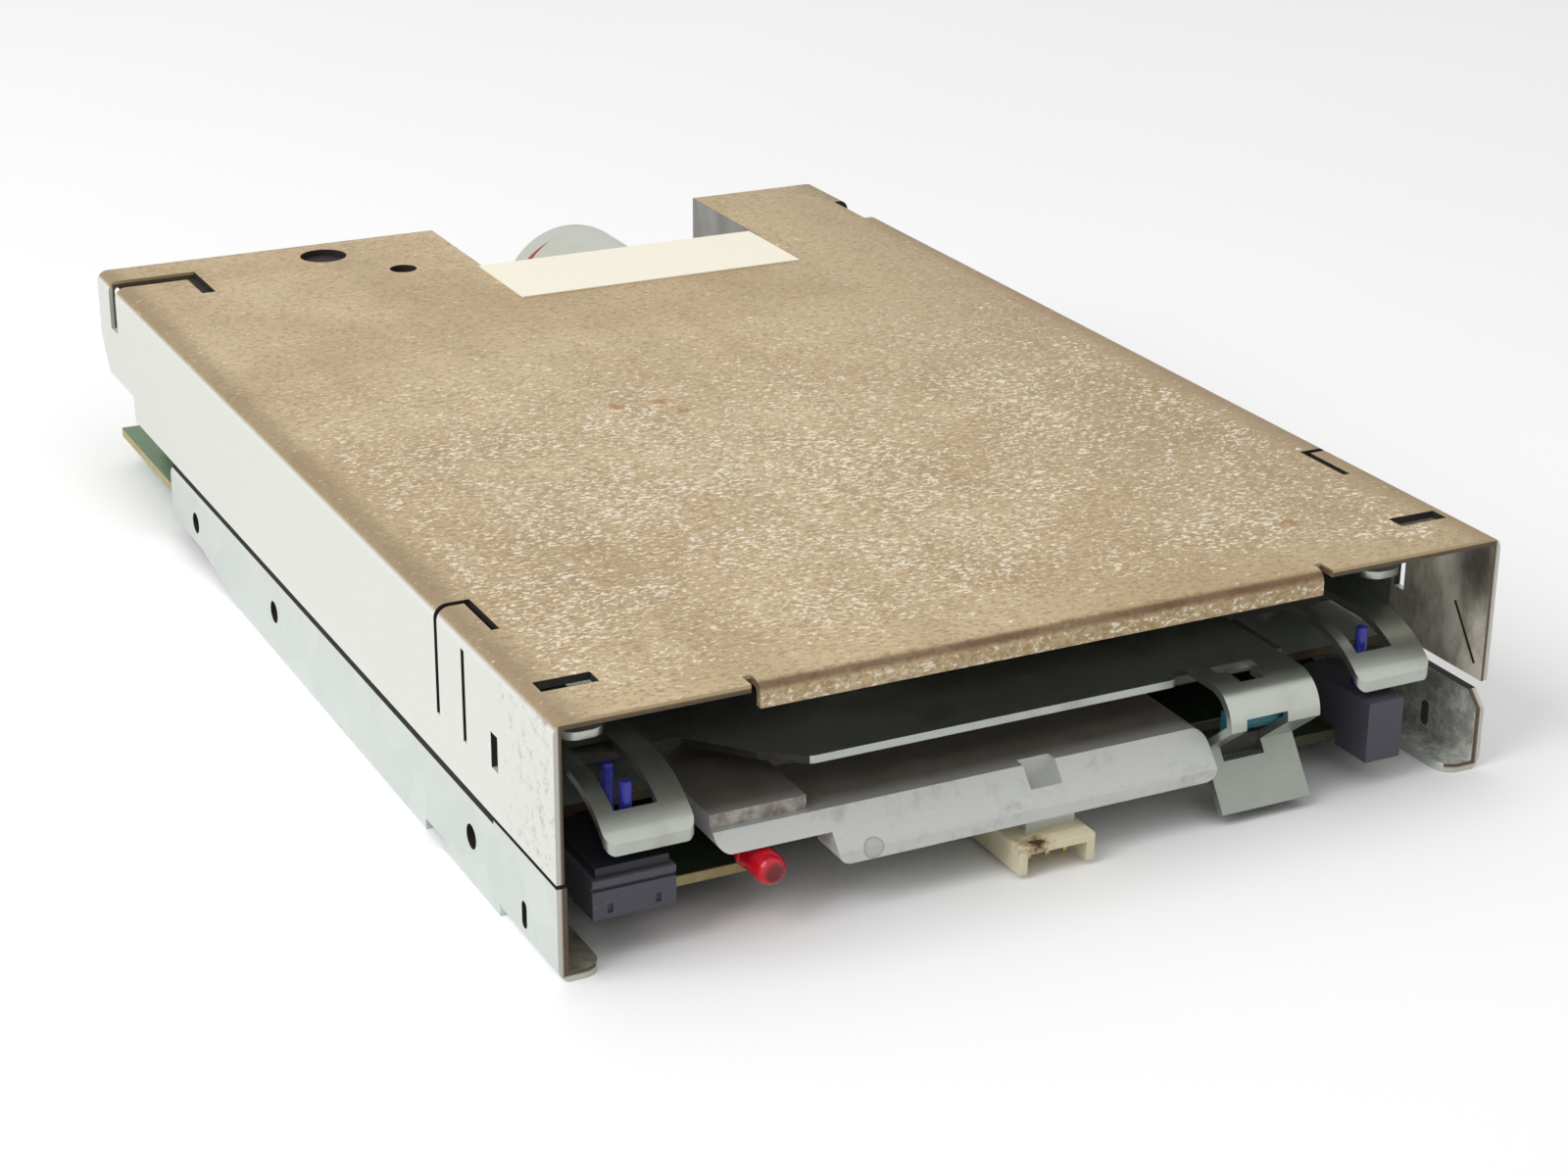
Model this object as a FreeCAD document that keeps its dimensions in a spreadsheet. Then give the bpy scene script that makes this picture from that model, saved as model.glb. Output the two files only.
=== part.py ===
import FreeCAD, Part
import math
import os
import re
import Sketcher
from FreeCAD import Placement, Rotation, Vector

# A slim 3.5-inch floppy disk drive without its front bezel, shown with the disk holder down.
# Millimetres. X runs across the drive, Y from front to rear and Z up from the surface it rests on.
# Every Y in the sheet and in the functions counts from the front edge of the cover.
document = FreeCAD.newDocument("disk_drive")
sheet = document.addObject("Spreadsheet::Sheet", "Sizes")

SIZES = {
    # top cover
    "half_width": 50.8,
    "cover_length": 150,
    "cover_height": 25.4,
    "cover_sheet": 0.8,
    "bend_radius": 0.5,
    "skirt_bottom": 9.8,
    "lip_left": 31,
    "lip_right": 29.5,
    "lip_drop": 2.5,
    "lip_root": 2,
    "lip_nick": 0.9,
    "notch_left": 6,
    "notch_right": 32,
    "notch_depth": 20.5,
    "notch_flange": 9,
    "rear_step": 14,
    "rear_step_height": 3.2,
    "rear_slope": 3,
    "rear_slope_height": 5.7,
    "cover_hole_radius": 2.95,
    "cover_hole_left": 22.8,
    "cover_hole_rear": 5.5,
    "pilot_hole_radius": 1.7,
    "pilot_hole_left": 15.5,
    "pilot_hole_rear": 15.3,
    "rear_tab_width": 11,
    "rear_tab_slot": 3,
    "rear_tab_length": 6.5,
    "rear_tab_end": 5.4,
    "tab_leg_width": 1.7,
    "edge_notch_end": 10,
    "edge_notch_length": 9,
    "edge_notch_depth": 2.1,
    "front_tab_front": 21.3,
    "front_tab_length": 7,
    "front_tab_width": 3.6,
    "front_tab_slit": 0.8,
    "front_tab_depth": 11,
    "top_slot_inset": 7.2,
    "top_slot_width": 5.5,
    "top_slot_front": 6.6,
    "top_slot_length": 2.2,
    "skirt_slot_front": 13.4,
    "skirt_slot_length": 1.6,
    "skirt_slot_bottom": 14.8,
    "skirt_slot_height": 3.6,
    # paper strip on the cover
    "tape_left": 6.6,
    "tape_width": 38.1,
    "tape_front": 116.4,
    "tape_length": 14.8,
    "tape_thickness": 0.2,
    # base frame
    "base_sheet": 1,
    "base_length": 121,
    "wall_height": 9.4,
    "right_relief": 1.05,
    "right_relief_length": 14,
    "right_chamfer": 1.6,
    "ramp_start": 95,
    "ramp_end": 109,
    "ramp_height": 2.4,
    "side_hole_radius": 1.25,
    "side_hole_height": 5,
    "side_hole_front": 21,
    "side_hole_middle": 60,
    "side_hole_rear": 90,
    "wall_slot_front": 7.3,
    "wall_slot_width": 1.2,
    "wall_slot_bottom": 1.75,
    "wall_slot_height": 2.75,
    "wall_notch_front": 28.8,
    "wall_notch_length": 4.8,
    "wall_notch_height": 1.2,
    "foot_width": 4.4,
    "foot_length": 14,
    "foot_corner": 2,
    "deck_front": 15,
    "deck_rear": 130.3,
    "deck_tail_inset": 6.8,
    "upright_inset": 1.4,
    "upright_sheet": 0.9,
    "upright_width": 8,
    "upright_cover_gap": 3,
    # front casting
    "casting_plate": 1.7,
    "casting_side_gap": 5,
    "casting_rear": 81,
    "bar_left": 22.8,
    "bar_right": 18.6,
    "bar_front": 0.2,
    "bar_bottom": 5.3,
    "bar_top": 9.85,
    "bar_band": 1.25,
    "bar_slope": 3,
    "bar_depth": 4.5,
    "bar_corner": 1.3,
    "bar_pocket_left": 1.7,
    "bar_pocket_width": 3.5,
    "bar_pocket_depth": 4.2,
    "bar_pocket_floor": 8,
    "bar_tab_left": 1.9,
    "bar_tab_width": 5.4,
    "bar_tab_inset": 1.7,
    "arm_left": 34.2,
    "ledge_right": 24.4,
    "ledge_rise": 0.2,
    "ledge_inset": 0.7,
    "boss_radius": 8,
    "boss_bottom": 8.2,
    "post_radius": 1.6,
    "post_side": 24,
    "post_front": 32,
    "post_rear": 76,
    "post_gap": 0.1,
    "casting_screw_inset": 4,
    "casting_screw_front": 22,
    "casting_screw_rear": 74,
    # slide plate
    "slide_level": 13.5,
    "slide_sheet": 0.8,
    "slide_side_gap": 0.4,
    "slide_front": 5.4,
    "slide_left": 23,
    "slide_right": 17.1,
    "slide_shoulder_left": 32.3,
    "slide_shoulder_front": 14.3,
    "slide_bevel_left": 27.2,
    "slide_bevel_front": 8.4,
    "slide_corner": 0.8,
    "slide_web_front": 17,
    "slide_web_rear": 21,
    "slide_opening_half": 28,
    "slide_rear": 92,
    "slide_wall_front": 20,
    "slide_wall_rear": 88,
    "slide_cover_gap": 3.2,
    "slide_travel": 5,
    # eject tongue
    "tongue_left": 19.4,
    "tongue_width": 10.4,
    "tongue_sheet": 0.8,
    "tongue_root": 7.4,
    "tongue_bulge": 3.9,
    "tongue_bulge_reach": 0.6,
    "tongue_neck": 3.7,
    "tongue_neck_height": 6.8,
    "tongue_tip_reach": 0.1,
    "tongue_tip_height": 1.4,
    "window_side": 1.8,
    "window_width": 4.8,
    "window_front": 4.8,
    "window_length": 1.5,
    "stem_width": 2.8,
    "stem_length": 2.4,
    "second_window_bottom": 5.6,
    "second_window_height": 5.9,
    "clip_side": 1,
    "clip_front": 1,
    "clip_level": 10.15,
    "clip_height": 1.2,
    "clip_depth": 1.8,
    "clip_drop": 1.5,
    # disk holder
    "rail_gap": 0.3,
    "holder_sheet": 0.8,
    "holder_side_gap": 0.9,
    "rail_width": 10.1,
    "disk_room": 3.5,
    "holder_front": 11,
    "holder_roof_front": 20,
    "holder_rear": 92,
    "holder_flange": 4.6,
    "holder_flange_front": 8.8,
    "flange_corner": 1.8,
    "head_gap_half": 12,
    "head_gap_front": 62,
    "ear_width": 19,
    "ear_length": 9,
    "guide_inset": 1.2,
    "guide_radius": 12.6,
    "guide_tip": 1.9,
    "guide_corner": 1,
    "left_window_reach": 2.7,
    "right_window_reach": 1.6,
    "guide_window_width": 4.3,
    "guide_window_front": 4.4,
    "guide_window_length": 11.6,
    "lift_travel": 2.6,
    # holder pins
    "pin_radius": 1.2,
    "pin_height": 17,
    "pin_front": 30,
    "pin_rear": 78,
    "pin_clearance": 0.1,
    "pin_end_gap": 0.1,
    # shutter lever
    "lever_pivot_inset": 8.4,
    "lever_pivot_back": 97,
    "lever_pivot_radius": 1.5,
    "lever_bottom": 15.8,
    "lever_thickness": 1.4,
    "lever_hub_radius": 3.2,
    "lever_hub_height": 2.7,
    "lever_length": 18,
    "lever_angle": 28.6,
    "lever_width": 3.4,
    "running_clearance": 0.05,
    # slide springs
    "spring_inset": 8.1,
    "spring_height": 11.5,
    "spring_radius": 1.35,
    "spring_wire": 0.25,
    "spring_pitch": 2.6,
    "spring_front": 38,
    "spring_rear": 66,
    "spring_tab_width": 2.4,
    "spring_seat": 0.05,
    # switches and plungers
    "left_switch_reach": 5,
    "left_switch_width": 8.2,
    "left_switch_front": 1.5,
    "left_switch_length": 11.5,
    "left_switch_height": 3.9,
    "left_cap_height": 1,
    "left_cap_inset": 0.5,
    "switch_groove": 0.35,
    "switch_groove_drop": 1.1,
    "switch_slit_width": 0.5,
    "switch_slit_height": 0.9,
    "switch_slit_inset": 1.5,
    "switch_slit_rise": 0.5,
    "right_switch_reach": 2.1,
    "right_switch_width": 4.2,
    "right_switch_front": 1,
    "right_switch_length": 11.2,
    "right_switch_height": 4.8,
    "right_switch_drop": 1.7,
    "plunger_radius": 0.6,
    "plunger_clearance": 0.06,
    "plunger_travel": 1.2,
    "plunger_well": 2.4,
    "left_plunger_inset": 4.6,
    "left_plunger_front": 5.4,
    "left_plunger_rear": 9.5,
    "right_plunger_inset": 7.2,
    "right_plunger_front": 6,
    "left_plunger_top": 15.9,
    "right_plunger_top": 15.6,
    # indicator lamp
    "lamp_radius": 1.55,
    "lamp_side": 29.6,
    "lamp_reach": 0.5,
    "lamp_length": 5.5,
    "lamp_flange": 0.15,
    "lamp_flange_length": 0.9,
    "lamp_lead": 0.5,
    "lamp_lead_gap": 1.27,
    "lamp_lead_run": 2,
    # front header
    "header_half": 4.15,
    "header_reach": 1,
    "header_length": 11,
    "header_bottom": 0.5,
    "header_wall": 0.9,
    "header_pin": 0.5,
    "header_pin_pitch": 2,
    # control board
    "board_level": 3.4,
    "board_sheet": 1.2,
    "board_front": 6.2,
    "board_rear": 149.2,
    "board_side_gap": 0.9,
    "board_tail_inset": 1.4,
    "board_tail_front": 121.6,
    "board_notch_left": 27,
    "board_notch_gap": 1,
    "board_notch_depth": 7.3,
    "spacer_radius": 2.5,
    "spacer_inset": 4.5,
    "spacer_front": 24,
    "spacer_rear": 112,
    "screw_radius": 1.1,
    "screw_hole_radius": 1.25,
    "screw_head_radius": 2.4,
    "screw_head_height": 1.3,
    # rear connectors
    "pin_pitch": 2.54,
    "pin_square": 0.64,
    "interface_inset": 3.8,
    "interface_front": 138.2,
    "interface_depth": 5,
    "interface_height": 5.6,
    "interface_margin": 1.27,
    "lower_pin_height": 1.5,
    "pin_end": 149.4,
    "power_inset": 8.4,
    "power_width": 12,
    "power_front": 136,
    "power_depth": 8.5,
    "power_height": 5.4,
    "power_wall": 0.9,
    # board components
    "chip_height": 1.8,
    "main_chip_size": 14,
    "main_chip_side": 26,
    "main_chip_back": 94,
    "small_chip_width": 6,
    "small_chip_length": 10,
    "small_chip_side": 28,
    "small_chip_back": 96,
    # spindle
    "spindle_back": 48,
    "shaft_radius": 2,
    "bearing_radius": 5,
    "bearing_bottom": 8.2,
    "bearing_top": 13.4,
    "yoke_radius": 25,
    "yoke_bottom": 6.8,
    "yoke_sheet": 0.8,
    "yoke_hub_radius": 4,
    "magnet_bore": 11,
    "magnet_height": 1,
    "coil_height": 0.8,
    "coil_radius": 5,
    "coil_bore": 1.6,
    "coil_ring": 17.5,
    "platter_radius": 14,
    "platter_bottom": 13.8,
    "platter_thickness": 1.1,
    "hub_radius": 11.5,
    "hub_rise": 0.7,
    "nose_top": 16.9,
    "nose_chamfer": 0.5,
    "drive_pin_ring": 9,
    "drive_pin_radius": 1.1,
    "drive_pin_top": 16.7,
    # stepper motor and lead screw
    "motor_radius": 9.6,
    "motor_side": 13.2,
    "motor_height": 14.4,
    "motor_front": 130.5,
    "motor_edge": 0.8,
    "motor_boss_radius": 3,
    "motor_boss_length": 0.6,
    "bracket_sheet": 1.2,
    "bracket_left": 17,
    "bracket_right": 27.6,
    "bracket_cover_gap": 1.6,
    "bracket_foot": 5.8,
    "motor_ear": 12,
    "motor_screw_radius": 1.2,
    "motor_screw_head": 2,
    "motor_screw_height": 1.1,
    "lead_radius": 1.6,
    "lead_front": 93.6,
    "support_front": 93.2,
    "support_depth": 3,
    "support_width": 6,
    "support_top": 17,
    # guide rod
    "guide_rod_radius": 1.5,
    "guide_rod_side": 13,
    "guide_rod_height": 13,
    "guide_rod_front": 89.9,
    "rod_post_front": 89.5,
    "rod_post_depth": 3,
    "rod_post_width": 6,
    "rod_post_top": 14.9,
    # head carriage
    "carriage_front": 109,
    "carriage_rear": 122,
    "carriage_left": 17,
    "carriage_half": 9.5,
    "carriage_bottom": 10.6,
    "carriage_top": 16.4,
    "nut_front": 112,
    "nut_rear": 121,
    "nut_right": 17,
    "nut_bottom": 11.6,
    "nut_top": 17.2,
    "lower_arm_front": 83,
    "lower_arm_bottom": 12,
    "lower_arm_top": 14.5,
    "lower_arm_half": 9,
    "lower_arm_tip_half": 6,
    "head_back": 87.5,
    "head_size": 5,
    "head_gap": 0.3,
    "lower_head_top": 16.9,
    "ear_half": 11.3,
    "pivot_back": 118,
    "pivot_height": 18.6,
    "pivot_radius": 1,
    "ear_radius": 2.2,
    "upper_arm_half": 7,
    "upper_arm_tip_half": 4.5,
    "upper_arm_bottom": 18.8,
    "upper_arm_sheet": 0.8,
    "upper_arm_front": 85,
    "vane_side": 20.7,
    "vane_thickness": 0.6,
    "vane_front": 116.5,
    "vane_length": 3,
    "vane_drop": 2.6,
    # track sensor
    "sensor_left": 23.2,
    "sensor_width": 5,
    "sensor_front": 115,
    "sensor_depth": 6,
    "sensor_height": 4.4,
    "sensor_slot": 1.6,
    "sensor_slot_depth": 3.2,
}

for row, (alias, size) in enumerate(SIZES.items(), start=1):
    sheet.set(f"A{row}", alias)
    sheet.set(f"B{row}", str(size))
    sheet.setAlias(f"B{row}", alias)
document.recompute()

# Levels and places that several pieces share, written in the names of the sheet.
DECK_TOP = "wall_height"
DECK_BOTTOM = "(wall_height - base_sheet)"
CASTING_TOP = "(wall_height + casting_plate)"
BOARD_TOP = "(board_level + board_sheet)"
COVER_INSIDE = "(cover_height - cover_sheet)"
RAIL_BOTTOM = "(slide_level + slide_sheet + rail_gap)"
RAIL_TOP = f"({RAIL_BOTTOM} + holder_sheet)"
ROOF_BOTTOM = f"({RAIL_TOP} + disk_room)"
ROOF_TOP = f"({ROOF_BOTTOM} + holder_sheet)"
DISK_REST = f"({RAIL_TOP} - post_gap)"
UPRIGHT_OUT = "(half_width - upright_inset)"
SLIDE_OUT = f"({UPRIGHT_OUT} - upright_sheet - slide_side_gap)"
HOLDER_OUT = f"({SLIDE_OUT} - slide_sheet - holder_side_gap)"
RAIL_IN = f"({HOLDER_OUT} - rail_width)"
GUIDE_OUT = f"({HOLDER_OUT} - guide_inset)"
PIN_OUT = f"({UPRIGHT_OUT} - pin_end_gap)"
LEFT_PLUNGER = f"({HOLDER_OUT} - left_plunger_inset)"
RIGHT_PLUNGER = f"({HOLDER_OUT} - right_plunger_inset)"
LEFT_WINDOW = f"({LEFT_PLUNGER} - left_window_reach)"
RIGHT_WINDOW = f"({RIGHT_PLUNGER} - right_window_reach)"
LEFT_SWITCH = f"({LEFT_PLUNGER} + left_switch_reach)"
RIGHT_SWITCH = f"({RIGHT_PLUNGER} - right_switch_reach)"
LEVER_LEFT = f"({HOLDER_OUT} - lever_pivot_inset)"
SPRING_SIDE = f"({SLIDE_OUT} - spring_inset)"
BOARD_OUT = "(half_width - foot_width - board_side_gap)"
BOARD_TAIL_OUT = "(half_width - board_tail_inset)"
SPACER_SIDE = f"({BOARD_OUT} - spacer_inset)"
INTERFACE_LEFT = f"({BOARD_TAIL_OUT} - interface_inset)"
DECK_TAIL_OUT = "(half_width - deck_tail_inset)"
CASTING_OUT = f"({SPRING_SIDE} - casting_side_gap)"
CASTING_SCREW = f"({CASTING_OUT} - casting_screw_inset)"
POWER_LEFT = f"({BOARD_TAIL_OUT} - power_inset - power_width)"
BRACKET_TOP = "(cover_height - bracket_cover_gap)"
UPRIGHT_TOP = "(cover_height - upright_cover_gap)"
SLIDE_TOP = "(cover_height - slide_cover_gap)"
TOP_SLOT = "(half_width - top_slot_inset)"
EDGE_NOTCH = "(cover_length - edge_notch_end - edge_notch_length)"
FOLD = "(bend_radius + base_sheet)"
SIDES = (-1, 1)
COILS = 6
INTERFACE_COLUMNS = 17
TURNS = {
    "x": Rotation(Vector(0, 1, 0), 90),
    "y": Rotation(Vector(1, 0, 0), -90),
    "z": Rotation(),
}
nodes = []


def linked(text):
    """Give an expression in which every size name points at its cell."""
    return re.sub(r"[a-z]+(?:_[a-z]+)+", r"Sizes.\g<0>", str(text))


def value(text):
    """Give the number that an expression of size names stands for now."""
    return float(sheet.evalExpression(linked(text)))


def bind(thing, **sizes):
    """Tie properties of an object to the sheet."""
    for name, text in sizes.items():
        thing.setExpression(name, linked(text))


def place(thing, x="0", y="0", z="0"):
    """Place an object; the origin of the drive lies under the middle of its length."""
    thing.setExpression("Placement.Base.x", linked(x))
    thing.setExpression("Placement.Base.y", linked(f"({y}) - (cover_length - header_reach) / 2"))
    thing.setExpression("Placement.Base.z", linked(z))


def box(x, y, z, width, depth, height):
    """Make a block from its low corner and its three sizes."""
    block = document.addObject("Part::Box", "block")
    bind(block, Length=width, Width=depth, Height=height)
    place(block, x, y, z)
    return block


def rod(axis, x, y, z, radius, length):
    """Make a round bar that starts at a point and runs along an axis."""
    bar = document.addObject("Part::Cylinder", "bar")
    bar.Placement = Placement(Vector(), TURNS[axis])
    bind(bar, Radius=radius, Height=length)
    place(bar, x, y, z)
    return bar


def low(side, inner, width):
    """Give the low X of a block that starts at a distance from the middle on one side."""
    return f"({inner})" if side > 0 else f"-({inner}) - ({width})"


def joined(*pieces):
    """Join pieces into one solid."""
    union = document.addObject("Part::MultiFuse", "joined")
    union.Shapes = list(pieces)
    union.Refine = True
    return union


def grouped(*pieces):
    """Keep separate solids together."""
    group = document.addObject("Part::Compound", "group")
    group.Links = list(pieces)
    return group


def carved(stock, *tools):
    """Cut tools out of a piece of stock."""
    cut = document.addObject("Part::Cut", "carved")
    cut.Base = stock
    cut.Tool = tools[0] if len(tools) == 1 else joined(*tools)
    return cut


def shared(*pieces):
    """Keep what pieces have in common."""
    common = document.addObject("Part::MultiCommon", "shared")
    common.Shapes = list(pieces)
    return common


def node(name, piece):
    """Name a finished sub-part."""
    piece.Label = name
    nodes.append(piece)
    return piece


def new_body():
    """Start a body in the frame of the drive."""
    body = document.addObject("PartDesign::Body", "body")
    place(body)
    return body


def sketch(body, plane, height, *loops):
    """Draw closed loops of straight lines, every corner held by two sizes, on a plane of the body."""
    drawing = body.newObject("Sketcher::SketchObject", "outline")
    support = next(item for item in body.Origin.OriginFeatures if item.Role == plane)
    drawing.AttachmentSupport = (support, [""])
    drawing.MapMode = "FlatFace"
    drawing.setExpression("AttachmentOffset.Base.z", linked(height))
    for points in loops:
        first = drawing.GeometryCount
        corners = [Vector(value(across), value(along), 0) for across, along in points]
        for index, corner in enumerate(corners):
            following = corners[(index + 1) % len(corners)]
            drawing.addGeometry(Part.LineSegment(corner, following))
        for index, (across, along) in enumerate(points):
            line = first + index
            following = first + (index + 1) % len(points)
            drawing.addConstraint(Sketcher.Constraint("Coincident", line, 2, following, 1))
            for kind, text in (("DistanceX", across), ("DistanceY", along)):
                held = Sketcher.Constraint(kind, -1, 1, line, 1, value(text))
                number = drawing.addConstraint(held)
                drawing.setExpression(f"Constraints[{number}]", linked(text))
    return drawing


def pad(body, drawing, length):
    """Extrude a sketch along its normal."""
    feature = body.newObject("PartDesign::Pad", "pad")
    feature.Profile = drawing
    bind(feature, Length=length)
    document.recompute()
    return feature


def turned(body, drawing):
    """Turn a sketch once round the vertical axis of its plane."""
    feature = body.newObject("PartDesign::Revolution", "turned")
    feature.Profile = drawing
    feature.ReferenceAxis = (drawing, ["V_Axis"])
    feature.Angle = 360
    document.recompute()
    return feature


def rounded(body, radius, test):
    """Round the edges of a body's last feature that pass a test on their two ends."""
    base = body.Tip
    names = []
    for number, edge in enumerate(base.Shape.Edges, start=1):
        ends = [vertex.Point for vertex in edge.Vertexes]
        if test(ends[0], ends[-1]):
            names.append(f"Edge{number}")
    fillet = body.newObject("PartDesign::Fillet", "rounded")
    fillet.Base = (base, names)
    bind(fillet, Radius=radius)
    document.recompute()
    return fillet


def upright_edge(start, end):
    """Say whether an edge stands upright."""
    return math.hypot(end.x - start.x, end.y - start.y) < 0.01


def plate(level, thickness, points):
    """Make a flat plate from its outline."""
    body = new_body()
    pad(body, sketch(body, "XY_Plane", level, points), thickness)
    return body


def side_plate(start, thickness, points):
    """Make an upright plate across X from its outline in Y and Z."""
    body = new_body()
    pad(body, sketch(body, "YZ_Plane", start, points), thickness)
    return body


def revolved(x, y, points):
    """Make a round piece on an upright axis from its half outline in radius and Z."""
    body = document.addObject("PartDesign::Body", "body")
    place(body, x, y)
    turned(body, sketch(body, "XZ_Plane", "0", points))
    return body


def tube(x, y, z, outer, inner, height):
    """Make an upright ring."""
    return carved(rod("z", x, y, z, outer, height), rod("z", x, y, z, inner, height))


# Top cover: one folded sheet with a flat top, two skirts and a front lip.
def top_cover():
    body = new_body()
    outside = "(half_width - cover_sheet)"
    profile = [
        ("-half_width", "skirt_bottom"),
        ("-half_width", "cover_height"),
        ("half_width", "cover_height"),
        ("half_width", "skirt_bottom"),
        (outside, "skirt_bottom"),
        (outside, COVER_INSIDE),
        (f"-{outside}", COVER_INSIDE),
        (f"-{outside}", "skirt_bottom"),
    ]
    folded = pad(body, sketch(body, "XZ_Plane", "0", profile), "cover_length")
    folded.Reversed = True
    document.recompute()
    top = value("cover_height") - 0.01
    inside = value(COVER_INSIDE)
    edge = value("half_width") - value("cover_sheet") - 0.01

    def outer_bend(start, end):
        return abs(start.x) > edge and abs(end.y - start.y) > 1 and start.z > top

    def inner_bend(start, end):
        return abs(start.x) > edge and abs(end.y - start.y) > 1 and abs(start.z - inside) < 0.01

    rounded(body, "bend_radius + cover_sheet", outer_bend)
    rounded(body, "bend_radius", inner_bend)
    lip_gap = box("-lip_left - lip_nick", "-cover_sheet", f"{COVER_INSIDE} - cover_sheet",
                  "lip_left + lip_right + 2 * lip_nick", "lip_root + cover_sheet", "3 * cover_sheet")
    flange = box(
        "notch_right", "cover_length - notch_depth", "cover_height - notch_flange", "cover_sheet",
        "notch_depth", "notch_flange - cover_sheet / 2",
    )
    return node("top_cover", carved(joined(carved(body, lip_gap), front_lip(), flange), *cover_cuts()))


def front_lip():
    """Make the lip that the top turns down at the mouth, rounded at its bend."""
    body = new_body()
    profile = [
        ("0", "cover_height - lip_drop"),
        ("0", "cover_height"),
        ("lip_root", "cover_height"),
        ("lip_root", COVER_INSIDE),
        ("cover_sheet", COVER_INSIDE),
        ("cover_sheet", "cover_height - lip_drop"),
    ]
    pad(body, sketch(body, "YZ_Plane", "-lip_left", profile), "lip_left + lip_right")

    def bend(y, z):
        return lambda start, end: (abs(end.x - start.x) > 1 and abs(start.y - value(y)) < 0.01
                                   and abs(start.z - value(z)) < 0.01)

    rounded(body, "bend_radius + cover_sheet", bend("0", "cover_height"))
    rounded(body, "bend_radius", bend("cover_sheet", COVER_INSIDE))
    return body


def cover_cuts():
    """Give the tools for every opening in the cover."""
    deep = "2 * cover_sheet"
    over = f"{COVER_INSIDE} - cover_sheet / 2"
    rear_tab = "(cover_length - rear_tab_end - rear_tab_slot)"
    tools = [
        box(
            "-notch_left", "cover_length - notch_depth", over, "notch_left + notch_right",
            "2 * notch_depth", deep,
        ),
        rod("z", "-cover_hole_left", "cover_length - cover_hole_rear", over, "cover_hole_radius", deep),
        rod("z", "-pilot_hole_left", "cover_length - pilot_hole_rear", over, "pilot_hole_radius", deep),
        box("-half_width - cover_sheet", rear_tab, "cover_height - 2 * rear_tab_slot",
            "rear_tab_width + cover_sheet", "rear_tab_slot", "3 * rear_tab_slot"),
        box("rear_tab_width - half_width - tab_leg_width", f"{rear_tab} - rear_tab_length", over,
            "tab_leg_width", "rear_tab_length + rear_tab_slot / 2", deep),
        box("half_width - edge_notch_depth", EDGE_NOTCH, "cover_height - 2 * edge_notch_depth",
            "2 * edge_notch_depth", "edge_notch_length", "3 * edge_notch_depth"),
    ]
    for side in SIDES:
        tools += skirt_cuts(side, over, deep)
    return tools


def skirt_cuts(side, over, deep):
    """Give the tools for the tabs, slots and rear corner of one skirt."""
    skirt = low(side, "half_width - 2 * cover_sheet", "3 * cover_sheet")
    tab_rear = "(front_tab_front + front_tab_length)"
    corner = [
        ("cover_length - rear_step", "skirt_bottom - 1"),
        ("cover_length - rear_step", "skirt_bottom + rear_step_height"),
        ("cover_length - rear_slope", "skirt_bottom + rear_step_height"),
        ("cover_length + 1", "skirt_bottom + rear_step_height + rear_slope_height"),
        ("cover_length + 1", "skirt_bottom - 1"),
    ]
    inward = low(side, "half_width - front_tab_width", "2 * front_tab_width")
    leg = low(side, "half_width - front_tab_width", "front_tab_slit")
    return [
        side_plate(skirt, "3 * cover_sheet", corner),
        box(inward, tab_rear, over, "2 * front_tab_width", "front_tab_slit", deep),
        box(leg, "front_tab_front", over, "front_tab_slit", "front_tab_length + front_tab_slit", deep),
        box(skirt, tab_rear, "cover_height - front_tab_depth", "3 * cover_sheet", "front_tab_slit",
            "front_tab_depth"),
        box(
            skirt, "front_tab_front", "cover_height - front_tab_depth", "3 * cover_sheet",
            "front_tab_slit", "front_tab_depth - 2 * cover_sheet",
        ),
        box(low(side, TOP_SLOT, "top_slot_width"), "top_slot_front", over, "top_slot_width",
            "top_slot_length", deep),
        box(skirt, "skirt_slot_front", "skirt_slot_bottom", "3 * cover_sheet", "skirt_slot_length",
            "skirt_slot_height"),
    ]


def paper_tape():
    strip = box("-tape_left", "tape_front", "cover_height", "tape_width", "tape_length", "tape_thickness")
    return node("paper_tape", strip)


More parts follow.
